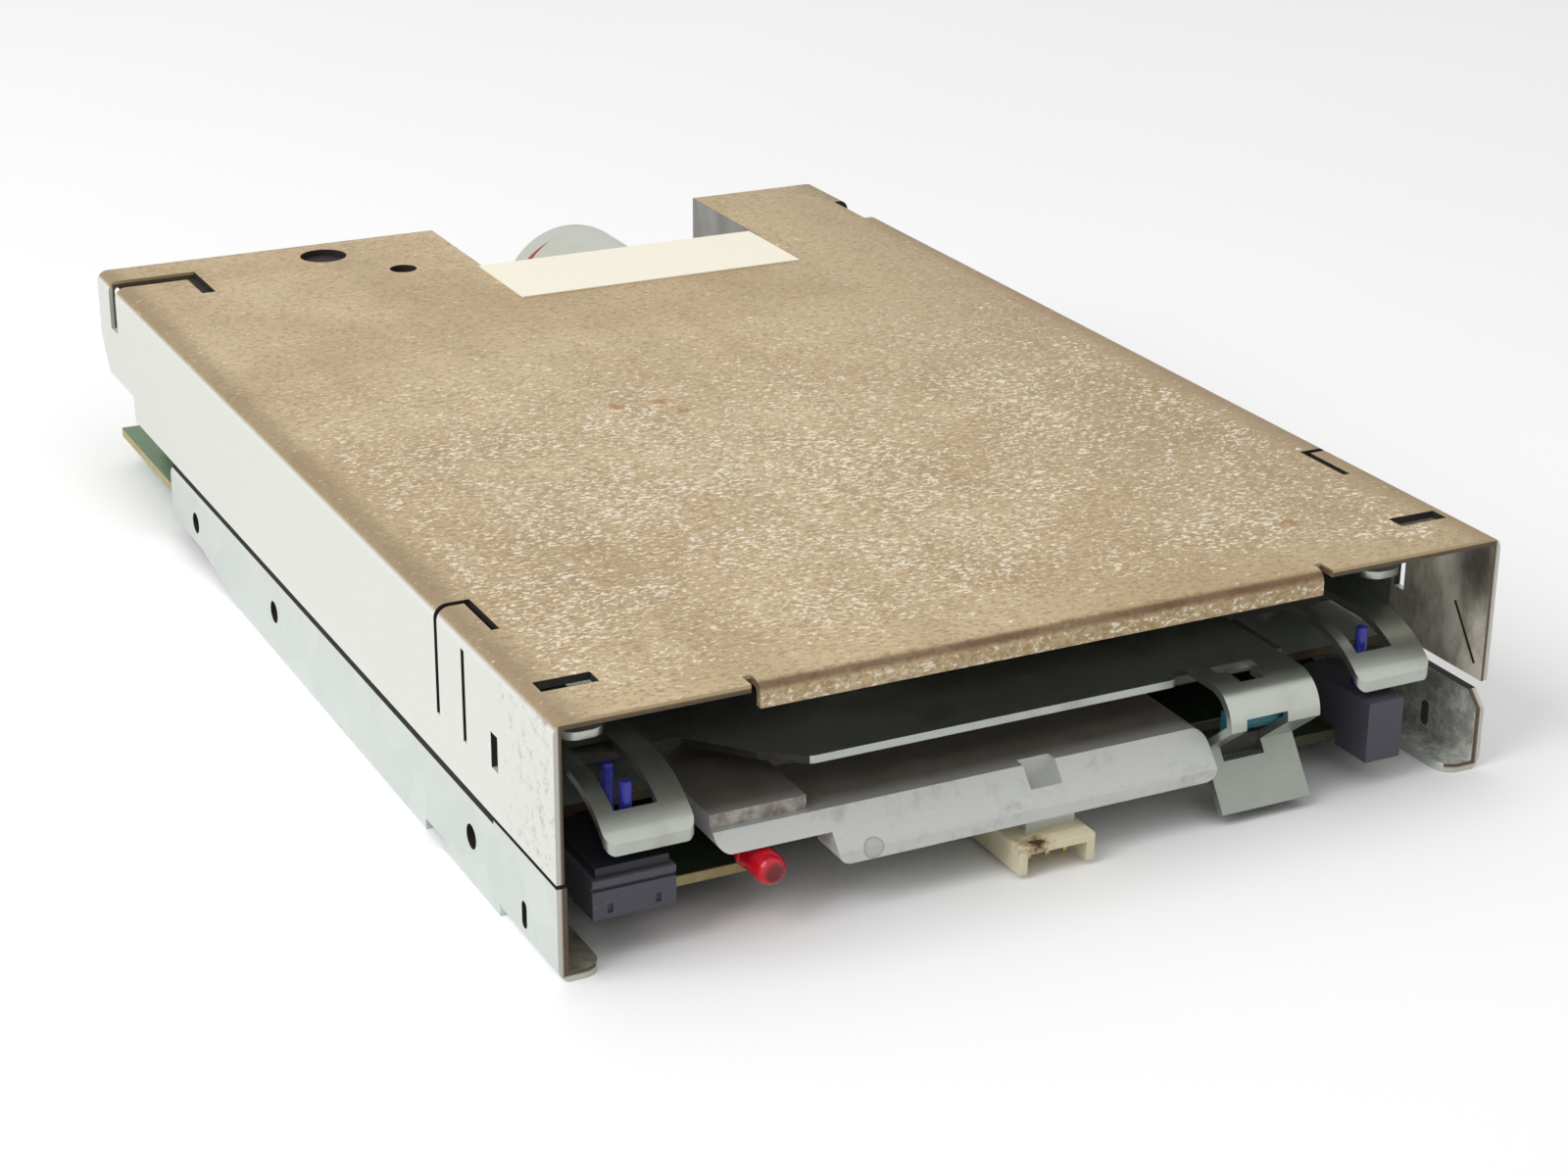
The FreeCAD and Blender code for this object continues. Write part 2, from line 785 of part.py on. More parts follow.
# Base frame: a pressed channel whose deck carries the works above it and the board below it.
def base_frame():
    deck = plate(DECK_BOTTOM, "base_sheet", [
        ("-half_width + base_sheet / 2", "deck_front"),
        ("-half_width + base_sheet / 2", "base_length"),
        (f"-{DECK_TAIL_OUT}", "base_length"),
        (f"-{DECK_TAIL_OUT}", "deck_rear"),
        (DECK_TAIL_OUT, "deck_rear"),
        (DECK_TAIL_OUT, "base_length"),
        ("half_width - base_sheet / 2", "base_length"),
        ("half_width - base_sheet / 2", "deck_front"),
    ])
    pieces = [deck]
    cuts = [rod("z", "0", "spindle_back", f"{DECK_BOTTOM} - base_sheet", "boss_radius", "3 * base_sheet")]
    for side in SIDES:
        pieces.append(base_wall(side))
        pieces.append(base_foot(side))
        cuts.append(fold_edge(side, "-base_sheet", "foot_length + base_sheet", "0", FOLD))
        cuts.append(fold_edge(side, "deck_front", "base_length - deck_front", "wall_height", f"-{FOLD}"))
        pieces += [base_upright(side, pin) for pin in ("pin_front", "pin_rear")]
        pieces.append(box(
            f"{side} * {SPRING_SIDE} - spring_tab_width / 2", "spring_front - base_sheet", DECK_BOTTOM,
            "spring_tab_width", "base_sheet", f"spring_height + spring_radius - {DECK_BOTTOM}",
        ))
        outside = low(side, "half_width - 2 * base_sheet", "3 * base_sheet")
        for back in ("0", "side_hole_middle", "side_hole_rear"):
            cuts.append(rod(
                "x", outside, f"side_hole_front + {back}", "side_hole_height", "side_hole_radius",
                "3 * base_sheet",
            ))
        cuts += wall_slot(outside)
        cuts.append(box(
            outside, "wall_notch_front", "-wall_notch_height", "3 * base_sheet", "wall_notch_length",
            "2 * wall_notch_height",
        ))
        for back in ("casting_screw_front", "casting_screw_rear"):
            cuts.append(rod("z", f"{side} * {CASTING_SCREW}", back, f"{DECK_BOTTOM} - base_sheet",
                            "screw_hole_radius", "3 * base_sheet"))
        for back in ("spacer_front", "spacer_rear"):
            cuts.append(rod("z", f"{side} * {SPACER_SIDE}", back, f"{DECK_BOTTOM} - base_sheet",
                            "screw_hole_radius", "3 * base_sheet"))
    return node("base_frame", carved(joined(*pieces), *cuts))


def base_wall(side):
    """Make one side wall; the right one is lower at the mouth, with its corner cut off."""
    outline = [("0", "0"), ("0", "wall_height")]
    if side > 0:
        mouth = "(wall_height - right_relief)"
        outline = [
            ("0", "0"),
            ("0", f"{mouth} - right_chamfer"),
            ("right_chamfer", mouth),
            ("right_relief_length", mouth),
            ("right_relief_length", "wall_height"),
        ]
    outline += [
        ("base_length", "wall_height"),
        ("base_length", "ramp_height"),
        ("ramp_end", "ramp_height"),
        ("ramp_start", "0"),
    ]
    return side_plate(low(side, "half_width - base_sheet", "base_sheet"), "base_sheet", outline)


def fold_edge(side, front, length, level, inward):
    """Give the tool that rounds the outside of a fold along a wall."""
    x = f"{side} * (half_width - {FOLD})"
    corner = box(low(side, f"half_width - {FOLD}", f"2 * {FOLD}"), front, f"{level} - {FOLD}",
                 f"2 * {FOLD}", length, f"2 * {FOLD}")
    return carved(corner, rod("y", x, front, f"{level} + {inward}", FOLD, length))


def wall_slot(outside):
    """Give the tools for the round-ended slot through one wall."""
    radius = "wall_slot_width / 2"
    middle = f"wall_slot_front + {radius}"
    tools = [box(outside, "wall_slot_front", f"wall_slot_bottom + {radius}", "3 * base_sheet",
                 "wall_slot_width", "wall_slot_height - wall_slot_width")]
    for rise in (radius, f"wall_slot_height - {radius}"):
        tools.append(rod("x", outside, middle, f"wall_slot_bottom + {rise}", radius, "3 * base_sheet"))
    return tools


def base_foot(side):
    """Make the lip that turns inwards under one wall, with its front corner rounded."""
    body = new_body()
    inner = f"{side} * (half_width - foot_width)"
    outer = f"{side} * (half_width - base_sheet / 2)"
    outline = [(inner, "0"), (inner, "foot_length"), (outer, "foot_length"), (outer, "0")]
    pad(body, sketch(body, "XY_Plane", "0", outline), "base_sheet")
    corner_x = value(inner)

    def front_corner(start, end):
        return upright_edge(start, end) and abs(start.x - corner_x) < 0.01 and abs(start.y) < 0.01

    rounded(body, "foot_corner", front_corner)
    return body


def base_upright(side, pin):
    """Make one post that guides a holder pin up and down in its slot."""
    post = box(low(side, f"{UPRIGHT_OUT} - upright_sheet", "upright_sheet"), f"{pin} - upright_width / 2",
               DECK_BOTTOM, "upright_sheet", "upright_width", f"{UPRIGHT_TOP} - {DECK_BOTTOM}")
    across = low(side, f"{UPRIGHT_OUT} - 2 * upright_sheet", "3 * upright_sheet")
    reach = "(pin_radius + pin_clearance)"
    slot = joined(
        box(across, f"{pin} - {reach}", "pin_height", "3 * upright_sheet", f"2 * {reach}", "lift_travel"),
        rod("x", across, pin, "pin_height", reach, "3 * upright_sheet"),
        rod("x", across, pin, "pin_height + lift_travel", reach, "3 * upright_sheet"),
    )
    return carved(post, slot)


# Front casting: a die-cast plate with the front bar, the bearing boss and four disk posts.
def front_casting():
    bed_front = "(deck_front - casting_plate)"
    bed = plate(DECK_TOP, "casting_plate", [
        (f"-{CASTING_OUT}", bed_front),
        (f"-{CASTING_OUT}", "casting_rear"),
        (CASTING_OUT, "casting_rear"),
        (CASTING_OUT, bed_front),
    ])
    boss = rod("z", "0", "spindle_back", "boss_bottom", "boss_radius - running_clearance",
               "bearing_top - boss_bottom")
    tab = box(
        "-bar_tab_left", "bar_front + bar_tab_inset", "board_level", "bar_tab_width",
        "bar_depth - bar_tab_inset", "bar_bottom + bar_band - board_level",
    )
    ledge_front = "(bar_front + bar_slope + ledge_inset)"
    ledge_bottom = "(bar_top - casting_plate / 2)"
    ledge = box(
        "-arm_left", ledge_front, ledge_bottom, "arm_left - ledge_right", f"deck_front - {ledge_front}",
        f"{CASTING_TOP} + ledge_rise - {ledge_bottom}",
    )
    pocket = box(
        "-bar_pocket_left", "bar_front", "bar_pocket_floor", "bar_pocket_width", "bar_pocket_depth",
        "bar_top",
    )
    pieces = [front_bar(), bed, boss, tab, ledge]
    cuts = [pocket, rod(
        "z", "0", "spindle_back", "boss_bottom", "bearing_radius", "bearing_top - boss_bottom",
    )]
    for side in SIDES:
        for back in ("post_front", "post_rear"):
            pieces.append(rod("z", f"{side} * post_side", back, DECK_TOP, "post_radius",
                              f"{DISK_REST} - {DECK_TOP}"))
        for back in ("casting_screw_front", "casting_screw_rear"):
            cuts.append(rod("z", f"{side} * {CASTING_SCREW}", back, DECK_TOP, "screw_hole_radius",
                            "casting_plate"))
    return node("front_casting", carved(joined(*pieces), *cuts))


def front_bar():
    """Make the bar and its left arm: one sloping section, trimmed to its outline seen from the front."""
    under = "(bar_top - casting_plate)"
    section = new_body()
    pad(section, sketch(section, "YZ_Plane", "-arm_left", [
        ("bar_front", "bar_bottom"),
        ("bar_front", "bar_bottom + bar_band"),
        ("bar_front + bar_slope", "bar_top"),
        ("deck_front", "bar_top"),
        ("deck_front", under),
        ("bar_front + bar_depth", under),
        ("bar_front + bar_depth", "bar_bottom"),
    ]), "arm_left + bar_right")
    outline = new_body()
    face = pad(outline, sketch(outline, "XZ_Plane", "0", [
        ("-arm_left", under),
        ("-arm_left", "bar_top"),
        ("bar_right", "bar_top"),
        ("bar_right", "bar_bottom"),
        ("-bar_left", "bar_bottom"),
        ("-bar_left", under),
    ]), "deck_front")
    face.Reversed = True
    document.recompute()
    soft = [("-arm_left", under), ("bar_right", "bar_top"), ("bar_right", "bar_bottom"),
            ("-bar_left", "bar_bottom")]
    corners = [(value(x), value(z)) for x, z in soft]

    def soft_corner(start, end):
        along = abs(end.y - start.y) > 1
        return along and any(math.hypot(start.x - x, start.z - z) < 0.01 for x, z in corners)

    rounded(outline, "bar_corner", soft_corner)
    return shared(section, outline)


# Slide plate: a flat U with cam walls, pushed back by the eject tongue and pulled forward by two springs.
def slide_plate():
    opening = "slide_opening_half"
    web = plate("slide_level", "slide_sheet", [
        ("-slide_left", "slide_front"),
        ("-slide_bevel_left", "slide_bevel_front"),
        ("-slide_shoulder_left", "slide_shoulder_front"),
        (f"-{SLIDE_OUT}", "slide_shoulder_front"),
        (f"-{SLIDE_OUT}", "slide_rear"),
        (f"-{opening}", "slide_rear"),
        (f"-{opening}", "slide_web_rear"),
        (opening, "slide_web_rear"),
        (opening, "slide_rear"),
        (SLIDE_OUT, "slide_rear"),
        (SLIDE_OUT, "slide_web_front"),
        ("tongue_left + tongue_width", "slide_web_front"),
        ("tongue_left + tongue_width", "tongue_root"),
        ("slide_right", "tongue_root"),
        ("slide_right", "slide_front"),
    ])
    web_front = value("slide_web_front")

    def front_corner(start, end):
        return upright_edge(start, end) and start.y < web_front - 0.01

    rounded(web, "slide_corner", front_corner)
    pieces = [web, eject_tongue()]
    cuts = []
    for side in SIDES:
        pieces.append(box(
            low(side, f"{SLIDE_OUT} - slide_sheet", "slide_sheet"), "slide_wall_front", "slide_level",
            "slide_sheet", "slide_wall_rear - slide_wall_front", f"{SLIDE_TOP} - slide_level",
        ))
        pieces.append(box(
            f"{side} * {SPRING_SIDE} - spring_tab_width / 2", "spring_rear",
            "spring_height - spring_radius", "spring_tab_width", "slide_sheet",
            "slide_level + slide_sheet - spring_height + spring_radius",
        ))
        cuts += [cam_slot(side, pin) for pin in ("pin_front", "pin_rear")]
    return node("slide_plate", carved(joined(*pieces), *cuts))


def cam_slot(side, pin):
    """Give the tool for one sloping cam slot; its lower end holds the pin while the holder is down."""
    length = math.hypot(value("slide_travel"), value("lift_travel"))
    slope = math.degrees(math.atan2(value("lift_travel"), value("slide_travel")))
    across = low(side, f"{SLIDE_OUT} - 2 * slide_sheet", "3 * slide_sheet")
    reach = "(pin_radius + pin_clearance)"
    middle = document.addObject("Part::Box", "block")
    middle.Placement = Placement(Vector(), Rotation(Vector(1, 0, 0), -slope))
    bind(middle, Length="3 * slide_sheet", Height=f"2 * {reach}")
    middle.setExpression("Width", linked("sqrt(slide_travel * slide_travel + lift_travel * lift_travel)"))
    turn = f"{reach} / {length}"
    place(middle, across, f"{pin} - slide_travel - {turn} * lift_travel",
          f"pin_height + lift_travel - {turn} * slide_travel")
    low_end = rod("x", across, pin, "pin_height", reach, "3 * slide_sheet")
    high_end = rod(
        "x", across, f"{pin} - slide_travel", "pin_height + lift_travel", reach, "3 * slide_sheet",
    )
    return joined(middle, low_end, high_end)


def eject_tongue():
    """Make the bent strip that carries the eject button, with its two windows."""
    top = value("slide_level + slide_sheet")
    bulge = value("tongue_bulge")
    centre = Vector(0, value("tongue_bulge - tongue_bulge_reach"), top - bulge)
    crown = Vector(0, centre.y, top)
    front = Vector(0, centre.y - bulge, centre.z)
    middle = centre + Vector(0, -math.sqrt(0.5), math.sqrt(0.5)) * bulge
    neck = Vector(0, value("tongue_neck"), value("tongue_neck_height"))
    tip = Vector(0, value("-tongue_tip_reach"), value("tongue_tip_height"))
    root = Vector(0, value("tongue_root + tongue_sheet"), top)
    path = Part.Wire([
        Part.LineSegment(root, crown).toShape(),
        Part.Arc(crown, middle, front).toShape(),
        Part.LineSegment(front, neck).toShape(),
        Part.LineSegment(neck, tip).toShape(),
    ])
    strip = path.makeOffset2D(-value("tongue_sheet"), 0, True, True)
    if strip.BoundBox.ZMax > top + 0.01:
        strip = path.makeOffset2D(value("tongue_sheet"), 0, True, True)
    tongue = document.addObject("Part::Feature", "tongue")
    tongue.Shape = strip.extrude(Vector(value("tongue_width"), 0, 0))
    place(tongue, "tongue_left")
    left = "(tongue_left + window_side)"
    bar = box(left, "window_front", "slide_level - slide_sheet", "window_width", "window_length",
              "3 * slide_sheet")
    stem = box(
        f"{left} + (window_width - stem_width) / 2", "window_front - stem_length",
        "slide_level - stem_length", "stem_width", "stem_length + window_length / 2", "2 * stem_length",
    )
    second = box(left, "-tongue_bulge", "second_window_bottom", "window_width", "2 * tongue_bulge",
                 "second_window_height")
    return carved(tongue, bar, stem, second)


def button_clip():
    """Make the small wedge left in the fold of the tongue, where the eject button was clipped."""
    wedge = side_plate("tongue_left + clip_side", "tongue_width - 2 * clip_side", [
        ("clip_front", "clip_level"),
        ("clip_front", "clip_level + clip_height"),
        ("clip_front + clip_depth", "clip_level + clip_height"),
        ("clip_front + clip_depth", "clip_level - clip_drop"),
    ])
    return node("button_clip", wedge)


# Disk holder: a tray with two rails, side walls, a roof and two curved guides at the mouth.
def disk_holder():
    roof = plate(ROOF_BOTTOM, "holder_sheet", [
        (f"-{HOLDER_OUT}", "holder_flange_front"),
        (f"-{HOLDER_OUT}", "holder_rear + ear_length"),
        (f"ear_width - {HOLDER_OUT}", "holder_rear + ear_length"),
        (f"ear_width - {HOLDER_OUT}", "holder_rear"),
        ("-head_gap_half", "holder_rear"),
        ("-head_gap_half", "head_gap_front"),
        ("head_gap_half", "head_gap_front"),
        ("head_gap_half", "holder_rear"),
        (HOLDER_OUT, "holder_rear"),
        (HOLDER_OUT, "holder_flange_front"),
        (f"{HOLDER_OUT} - holder_flange", "holder_flange_front"),
        (f"{HOLDER_OUT} - holder_flange", "holder_roof_front"),
        (f"holder_flange - {HOLDER_OUT}", "holder_roof_front"),
        (f"holder_flange - {HOLDER_OUT}", "holder_flange_front"),
    ])
    flange_front = value("holder_flange_front")

    def flange_end(start, end):
        return upright_edge(start, end) and abs(start.y - flange_front) < 0.01

    rounded(roof, "flange_corner", flange_end)
    pieces = [roof]
    cuts = []
    for side in SIDES:
        inside = f"({HOLDER_OUT} - holder_sheet)"
        pieces.append(box(low(side, RAIL_IN, f"{HOLDER_OUT} - {RAIL_IN}"), "holder_front", RAIL_BOTTOM,
                          f"{HOLDER_OUT} - {RAIL_IN}", "holder_rear - holder_front", "holder_sheet"))
        pieces.append(box(low(side, inside, "holder_sheet"), "holder_front", RAIL_BOTTOM, "holder_sheet",
                          "holder_rear - holder_front", f"{ROOF_TOP} - {RAIL_BOTTOM}"))
        pieces.append(disk_guide(side))
        cuts.append(guide_window(side))
        for pin in ("pin_front", "pin_rear"):
            cuts.append(rod(
                "x", low(side, f"{HOLDER_OUT} - 2 * holder_sheet", "3 * holder_sheet"), pin,
                "pin_height", "pin_radius", "3 * holder_sheet",
            ))
    cuts.append(rod("z", f"-{LEVER_LEFT}", "lever_pivot_back", f"{ROOF_BOTTOM} - holder_sheet",
                    "lever_pivot_radius", "3 * holder_sheet"))
    return node("disk_holder", carved(joined(*pieces), *cuts))


def disk_guide(side):
    """Make one guide that curves down in front of a rail, with the corners of its tip rounded."""
    across = low(side, RAIL_IN, f"{GUIDE_OUT} - {RAIL_IN}")
    width = f"{GUIDE_OUT} - {RAIL_IN}"
    centre = f"({RAIL_TOP} - guide_radius)"
    outer = rod("x", across, "holder_front", centre, "guide_radius", width)
    inner = rod("x", across, "holder_front", centre, "guide_radius - holder_sheet", width)
    edges = [f"{side} * {RAIL_IN}", f"{side} * {GUIDE_OUT}"]
    sector = plate(centre, "2 * guide_radius", [
        (edges[0], "guide_tip"),
        (edges[0], "holder_front"),
        (edges[1], "holder_front"),
        (edges[1], "guide_tip"),
    ])
    tip = value("guide_tip")

    def tip_corner(start, end):
        return upright_edge(start, end) and abs(start.y - tip) < 0.01

    rounded(sector, "guide_corner", tip_corner)
    return shared(carved(outer, inner), sector)


def guide_window(side):
    """Give the tool for the window that runs from a guide back into its rail."""
    inner_edge = LEFT_WINDOW if side < 0 else RIGHT_WINDOW
    return box(
        low(side, inner_edge, "guide_window_width"), "guide_window_front", f"{RAIL_TOP} - guide_radius",
        "guide_window_width", "guide_window_length", "guide_radius + holder_sheet",
    )


def holder_pins():
    pins = []
    for side in SIDES:
        inner = f"({HOLDER_OUT} - holder_sheet)"
        length = f"({PIN_OUT} - {inner})"
        for back in ("pin_front", "pin_rear"):
            pins.append(rod("x", low(side, inner, length), back, "pin_height", "pin_radius", length))
    return node("holder_pins", grouped(*pins))


# Shutter lever: swings on a stud under the holder's ear and draws the disk's shutter aside.
def shutter_lever():
    hub = rod(
        "z", f"-{LEVER_LEFT}", "lever_pivot_back", "lever_bottom", "lever_hub_radius",
        "lever_hub_height",
    )
    bore = rod("z", f"-{LEVER_LEFT}", "lever_pivot_back", "lever_bottom",
               "lever_pivot_radius + running_clearance", "lever_hub_height")
    angle = math.radians(value("lever_angle"))
    arm = document.addObject("Part::Box", "block")
    arm.Placement = Placement(Vector(), Rotation(Vector(0, 0, 1), -value("lever_angle")))
    bind(arm, Length="lever_length", Width="lever_width", Height="lever_thickness")
    half = "lever_width / 2"
    place(
        arm, f"-{LEVER_LEFT} - {half} * {math.sin(angle)}",
        f"lever_pivot_back - {half} * {math.cos(angle)}", "lever_bottom",
    )
    tip = rod("z", f"lever_length * {math.cos(angle)} - {LEVER_LEFT}",
              f"lever_pivot_back - lever_length * {math.sin(angle)}", "lever_bottom", "lever_width / 2",
              "lever_hub_height")
    return node("shutter_lever", carved(joined(hub, arm, tip), bore))


def lever_stud():
    stud = rod("z", f"-{LEVER_LEFT}", "lever_pivot_back", "lever_bottom - lever_thickness / 2",
               "lever_pivot_radius", f"{ROOF_TOP} - lever_bottom + lever_thickness / 2")
    return node("lever_stud", stud)


# Slide springs: two coils between a tab of the base and a tab of the slide plate.
def slide_spring(side, name):
    start = "(spring_front + spring_wire + spring_seat)"
    length = f"(spring_rear - spring_wire - spring_seat - {start})"
    coil = document.addObject("Part::Helix", "coil")
    coil.Placement = Placement(Vector(), TURNS["y"])
    bind(coil, Pitch="spring_pitch", Height=length, Radius="spring_radius")
    place(coil, f"{side} * {SPRING_SIDE}", start, "spring_height")
    section = document.addObject("Part::RegularPolygon", "section")
    section.Polygon = 4
    bind(section, Circumradius="spring_wire")
    place(section, f"{side} * {SPRING_SIDE} + spring_radius", start, "spring_height")
    wire = document.addObject("Part::Sweep", "wire")
    wire.Sections = [section]
    wire.Spine = (coil, ["Edge1"])
    wire.Solid = True
    wire.Frenet = True
    return node(name, wire)


# Switch blocks and their plungers at the mouth.
def left_switch():
    body = box(
        f"-{LEFT_SWITCH}", "left_switch_front", BOARD_TOP, "left_switch_width", "left_switch_length",
        "left_switch_height",
    )
    level = f"({BOARD_TOP} + left_switch_height)"
    cap = box(
        f"left_cap_inset - {LEFT_SWITCH}", "left_switch_front + left_cap_inset", level,
        "left_switch_width - 2 * left_cap_inset", "left_switch_length - 2 * left_cap_inset",
        "left_cap_height",
    )
    wells = []
    bores = []
    for back in ("left_plunger_front", "left_plunger_rear"):
        reach = "plunger_radius + plunger_clearance"
        wells.append(rod("z", f"-{LEFT_PLUNGER}", back, f"{level} - plunger_well", reach, "plunger_well"))
        bores.append(rod("z", f"-{LEFT_PLUNGER}", back, level, reach, "left_cap_height"))
    groove = box(
        f"-{LEFT_SWITCH}", "left_switch_front", f"{level} - switch_groove_drop", "left_switch_width",
        "switch_groove", "switch_groove",
    )
    slits = []
    for inset in ("switch_slit_inset", "left_switch_width - switch_slit_inset - switch_slit_width"):
        slits.append(box(
            f"{inset} - {LEFT_SWITCH}", "left_switch_front", f"{BOARD_TOP} + switch_slit_rise",
            "switch_slit_width", "switch_groove", "switch_slit_height",
        ))
    node("left_switch_block", carved(body, groove, *slits, *wells))
    node("left_switch_cap", carved(cap, *bores))


def right_switch():
    body = box(RIGHT_SWITCH, "right_switch_front", BOARD_TOP, "right_switch_width", "right_switch_length",
               "right_switch_height")
    drop = box(
        RIGHT_SWITCH, "right_switch_front", f"{BOARD_TOP} - right_switch_drop", "right_switch_width",
        "board_front - right_switch_front - plunger_clearance", "right_switch_drop",
    )
    well = rod(
        "z", RIGHT_PLUNGER, "right_plunger_front", f"{BOARD_TOP} + right_switch_height - plunger_well",
        "plunger_radius + plunger_clearance", "plunger_well",
    )
    node("right_switch_block", carved(joined(body, drop), well))


def plunger(name, x, back, seat, top):
    """Make one round pin that stands in its well with room to travel and has a rounded top."""
    start = f"({seat} - plunger_well + plunger_travel + plunger_clearance)"
    shoulder = "plunger_radius / 3"
    node(name, revolved(x, back, [
        ("0", start),
        ("plunger_radius", start),
        ("plunger_radius", f"{top} - {shoulder}"),
        (f"plunger_radius - {shoulder}", top),
        ("0", top),
    ]))


def plungers():
    left_seat = f"({BOARD_TOP} + left_switch_height)"
    right_seat = f"({BOARD_TOP} + right_switch_height)"
    plunger(
        "write_protect_plunger", f"-{LEFT_PLUNGER}", "left_plunger_front", left_seat, "left_plunger_top",
    )
    plunger("density_plunger", f"-{LEFT_PLUNGER}", "left_plunger_rear", left_seat, "left_plunger_top")
    plunger("disk_in_plunger", RIGHT_PLUNGER, "right_plunger_front", right_seat, "right_plunger_top")


# Indicator lamp: a moulded lens that lies on the board's front edge, with two wire leads.
def indicator_lamp():
    height = f"({BOARD_TOP} + lamp_radius + lamp_flange)"
    barrel = rod(
        "y", "-lamp_side", "lamp_radius - lamp_reach", height, "lamp_radius",
        "lamp_length - lamp_radius",
    )
    dome = document.addObject("Part::Sphere", "dome")
    bind(dome, Radius="lamp_radius")
    place(dome, "-lamp_side", "lamp_radius - lamp_reach", height)
    flange = rod("y", "-lamp_side", "lamp_length - lamp_reach - lamp_flange_length", height,
                 "lamp_radius + lamp_flange", "lamp_flange_length")
    node("indicator_lamp", joined(barrel, dome, flange))
    leads = []
    back = "(lamp_length - lamp_reach)"
    for side in SIDES:
        x = f"{side} * lamp_lead_gap / 2 - lamp_side - lamp_lead / 2"
        level = f"{height} - lamp_lead / 2"
        run = box(x, back, level, "lamp_lead", "lamp_lead_run", "lamp_lead")
        drop = box(x, f"{back} + lamp_lead_run - lamp_lead", BOARD_TOP, "lamp_lead", "lamp_lead",
                   f"{level} - {BOARD_TOP}")
        leads.append(joined(run, drop))
    node("lamp_leads", grouped(*leads))


# Front header: a moulded shell under the front edge of the board, open below, with a row of pins.
def front_header():
    height = "(board_level - header_bottom)"
    shell = box(
        "-header_half", "-header_reach", "header_bottom", "2 * header_half", "header_length", height,
    )
    room = box("header_wall - header_half", "-2 * header_reach", "header_bottom - header_wall",
               "2 * (header_half - header_wall)", "header_length + header_reach - header_wall", height)
    node("front_header_shell", carved(shell, room))
    pins = []
    for number in (-1, 0, 1):
        pins.append(box(
            f"{number} * header_pin_pitch - header_pin / 2", "header_wall", "header_bottom + header_pin",
            "header_pin", "header_length - 2 * header_wall - header_reach", "header_pin",
        ))
    node("front_header_pins", grouped(*pins))


# Control board: one printed board under the deck, wider behind the base walls.
def control_board():
    board = plate("board_level", "board_sheet", [
        (f"-{BOARD_OUT}", "board_front"),
        (f"-{BOARD_OUT}", "board_tail_front"),
        (f"-{BOARD_TAIL_OUT}", "board_tail_front"),
        (f"-{BOARD_TAIL_OUT}", "board_rear"),
        (BOARD_TAIL_OUT, "board_rear"),
        (BOARD_TAIL_OUT, "board_tail_front"),
        (BOARD_OUT, "board_tail_front"),
        (BOARD_OUT, "board_front"),
        ("tongue_left + tongue_width + board_notch_gap", "board_front"),
        ("tongue_left + tongue_width + board_notch_gap", "board_front + board_notch_depth"),
        ("-board_notch_left", "board_front + board_notch_depth"),
        ("-board_notch_left", "board_front"),
    ])
    holes = []
    spacers = []
    screws = []
    for side in SIDES:
        x = f"{side} * {SPACER_SIDE}"
        for back in ("spacer_front", "spacer_rear"):
            holes.append(rod("z", x, back, "board_level", "screw_hole_radius", "board_sheet"))
            spacers.append(tube(
                x, back, BOARD_TOP, "spacer_radius", "screw_hole_radius", f"{DECK_BOTTOM} - {BOARD_TOP}",
            ))
            head = rod(
                "z", x, back, "board_level - screw_head_height", "screw_head_radius",
                "screw_head_height",
            )
            shank = rod("z", x, back, "board_level - screw_head_height", "screw_radius",
                        f"{DECK_BOTTOM} - board_level + screw_head_height")
            screws.append(joined(head, shank))
    node("control_board", carved(board, *holes))
    node("board_spacers", grouped(*spacers))
    node("board_screws", grouped(*screws))


def casting_screws():
    screws = []
    for side in SIDES:
        x = f"{side} * {CASTING_SCREW}"
        for back in ("casting_screw_front", "casting_screw_rear"):
            head = rod("z", x, back, CASTING_TOP, "screw_head_radius", "screw_head_height")
            shank = rod(
                "z", x, back, DECK_BOTTOM, "screw_radius",
                f"{CASTING_TOP} - {DECK_BOTTOM} + screw_head_height",
            )
            screws.append(joined(head, shank))
    node("casting_screws", grouped(*screws))


# Rear connectors: a 34-pin interface header in two rows and a 4-pin power header.
def interface_header():
    width = f"({INTERFACE_COLUMNS - 1} * pin_pitch + 2 * interface_margin)"
    block = box(
        f"-{INTERFACE_LEFT}", "interface_front", BOARD_TOP, width, "interface_depth", "interface_height",
    )
    pins = []
    holes = []
    for column in range(INTERFACE_COLUMNS):
        x = f"interface_margin - {INTERFACE_LEFT} + {column} * pin_pitch - pin_square / 2"
        for row in (0, 1):
            z = f"{BOARD_TOP} + lower_pin_height + {row} * pin_pitch - pin_square / 2"
            pins.append(box(
                x, "interface_front", z, "pin_square", "pin_end - interface_front", "pin_square",
            ))
            holes.append(box(x, "interface_front", z, "pin_square", "interface_depth", "pin_square"))
    node("interface_header", carved(block, *holes))
    node("interface_pins", grouped(*pins))


def power_header():
    block = box(POWER_LEFT, "power_front", BOARD_TOP, "power_width", "power_depth", "power_height")
    room = box(f"{POWER_LEFT} + power_wall", "power_front + power_depth / 3", f"{BOARD_TOP} + power_wall",
               "power_width - 2 * power_wall", "power_depth", "power_height")
    pins = []
    holes = []
    for number in range(4):
        x = f"{POWER_LEFT} + power_width / 2 + {number - 1.5} * pin_pitch - pin_square / 2"
        z = f"{BOARD_TOP} + power_height / 2 - pin_square / 2"
        pins.append(box(x, "power_front", z, "pin_square", "power_depth - power_wall", "pin_square"))
        holes.append(box(x, "power_front", z, "pin_square", "power_depth", "pin_square"))
    node("power_header", carved(block, room, *holes))
    node("power_pins", grouped(*pins))


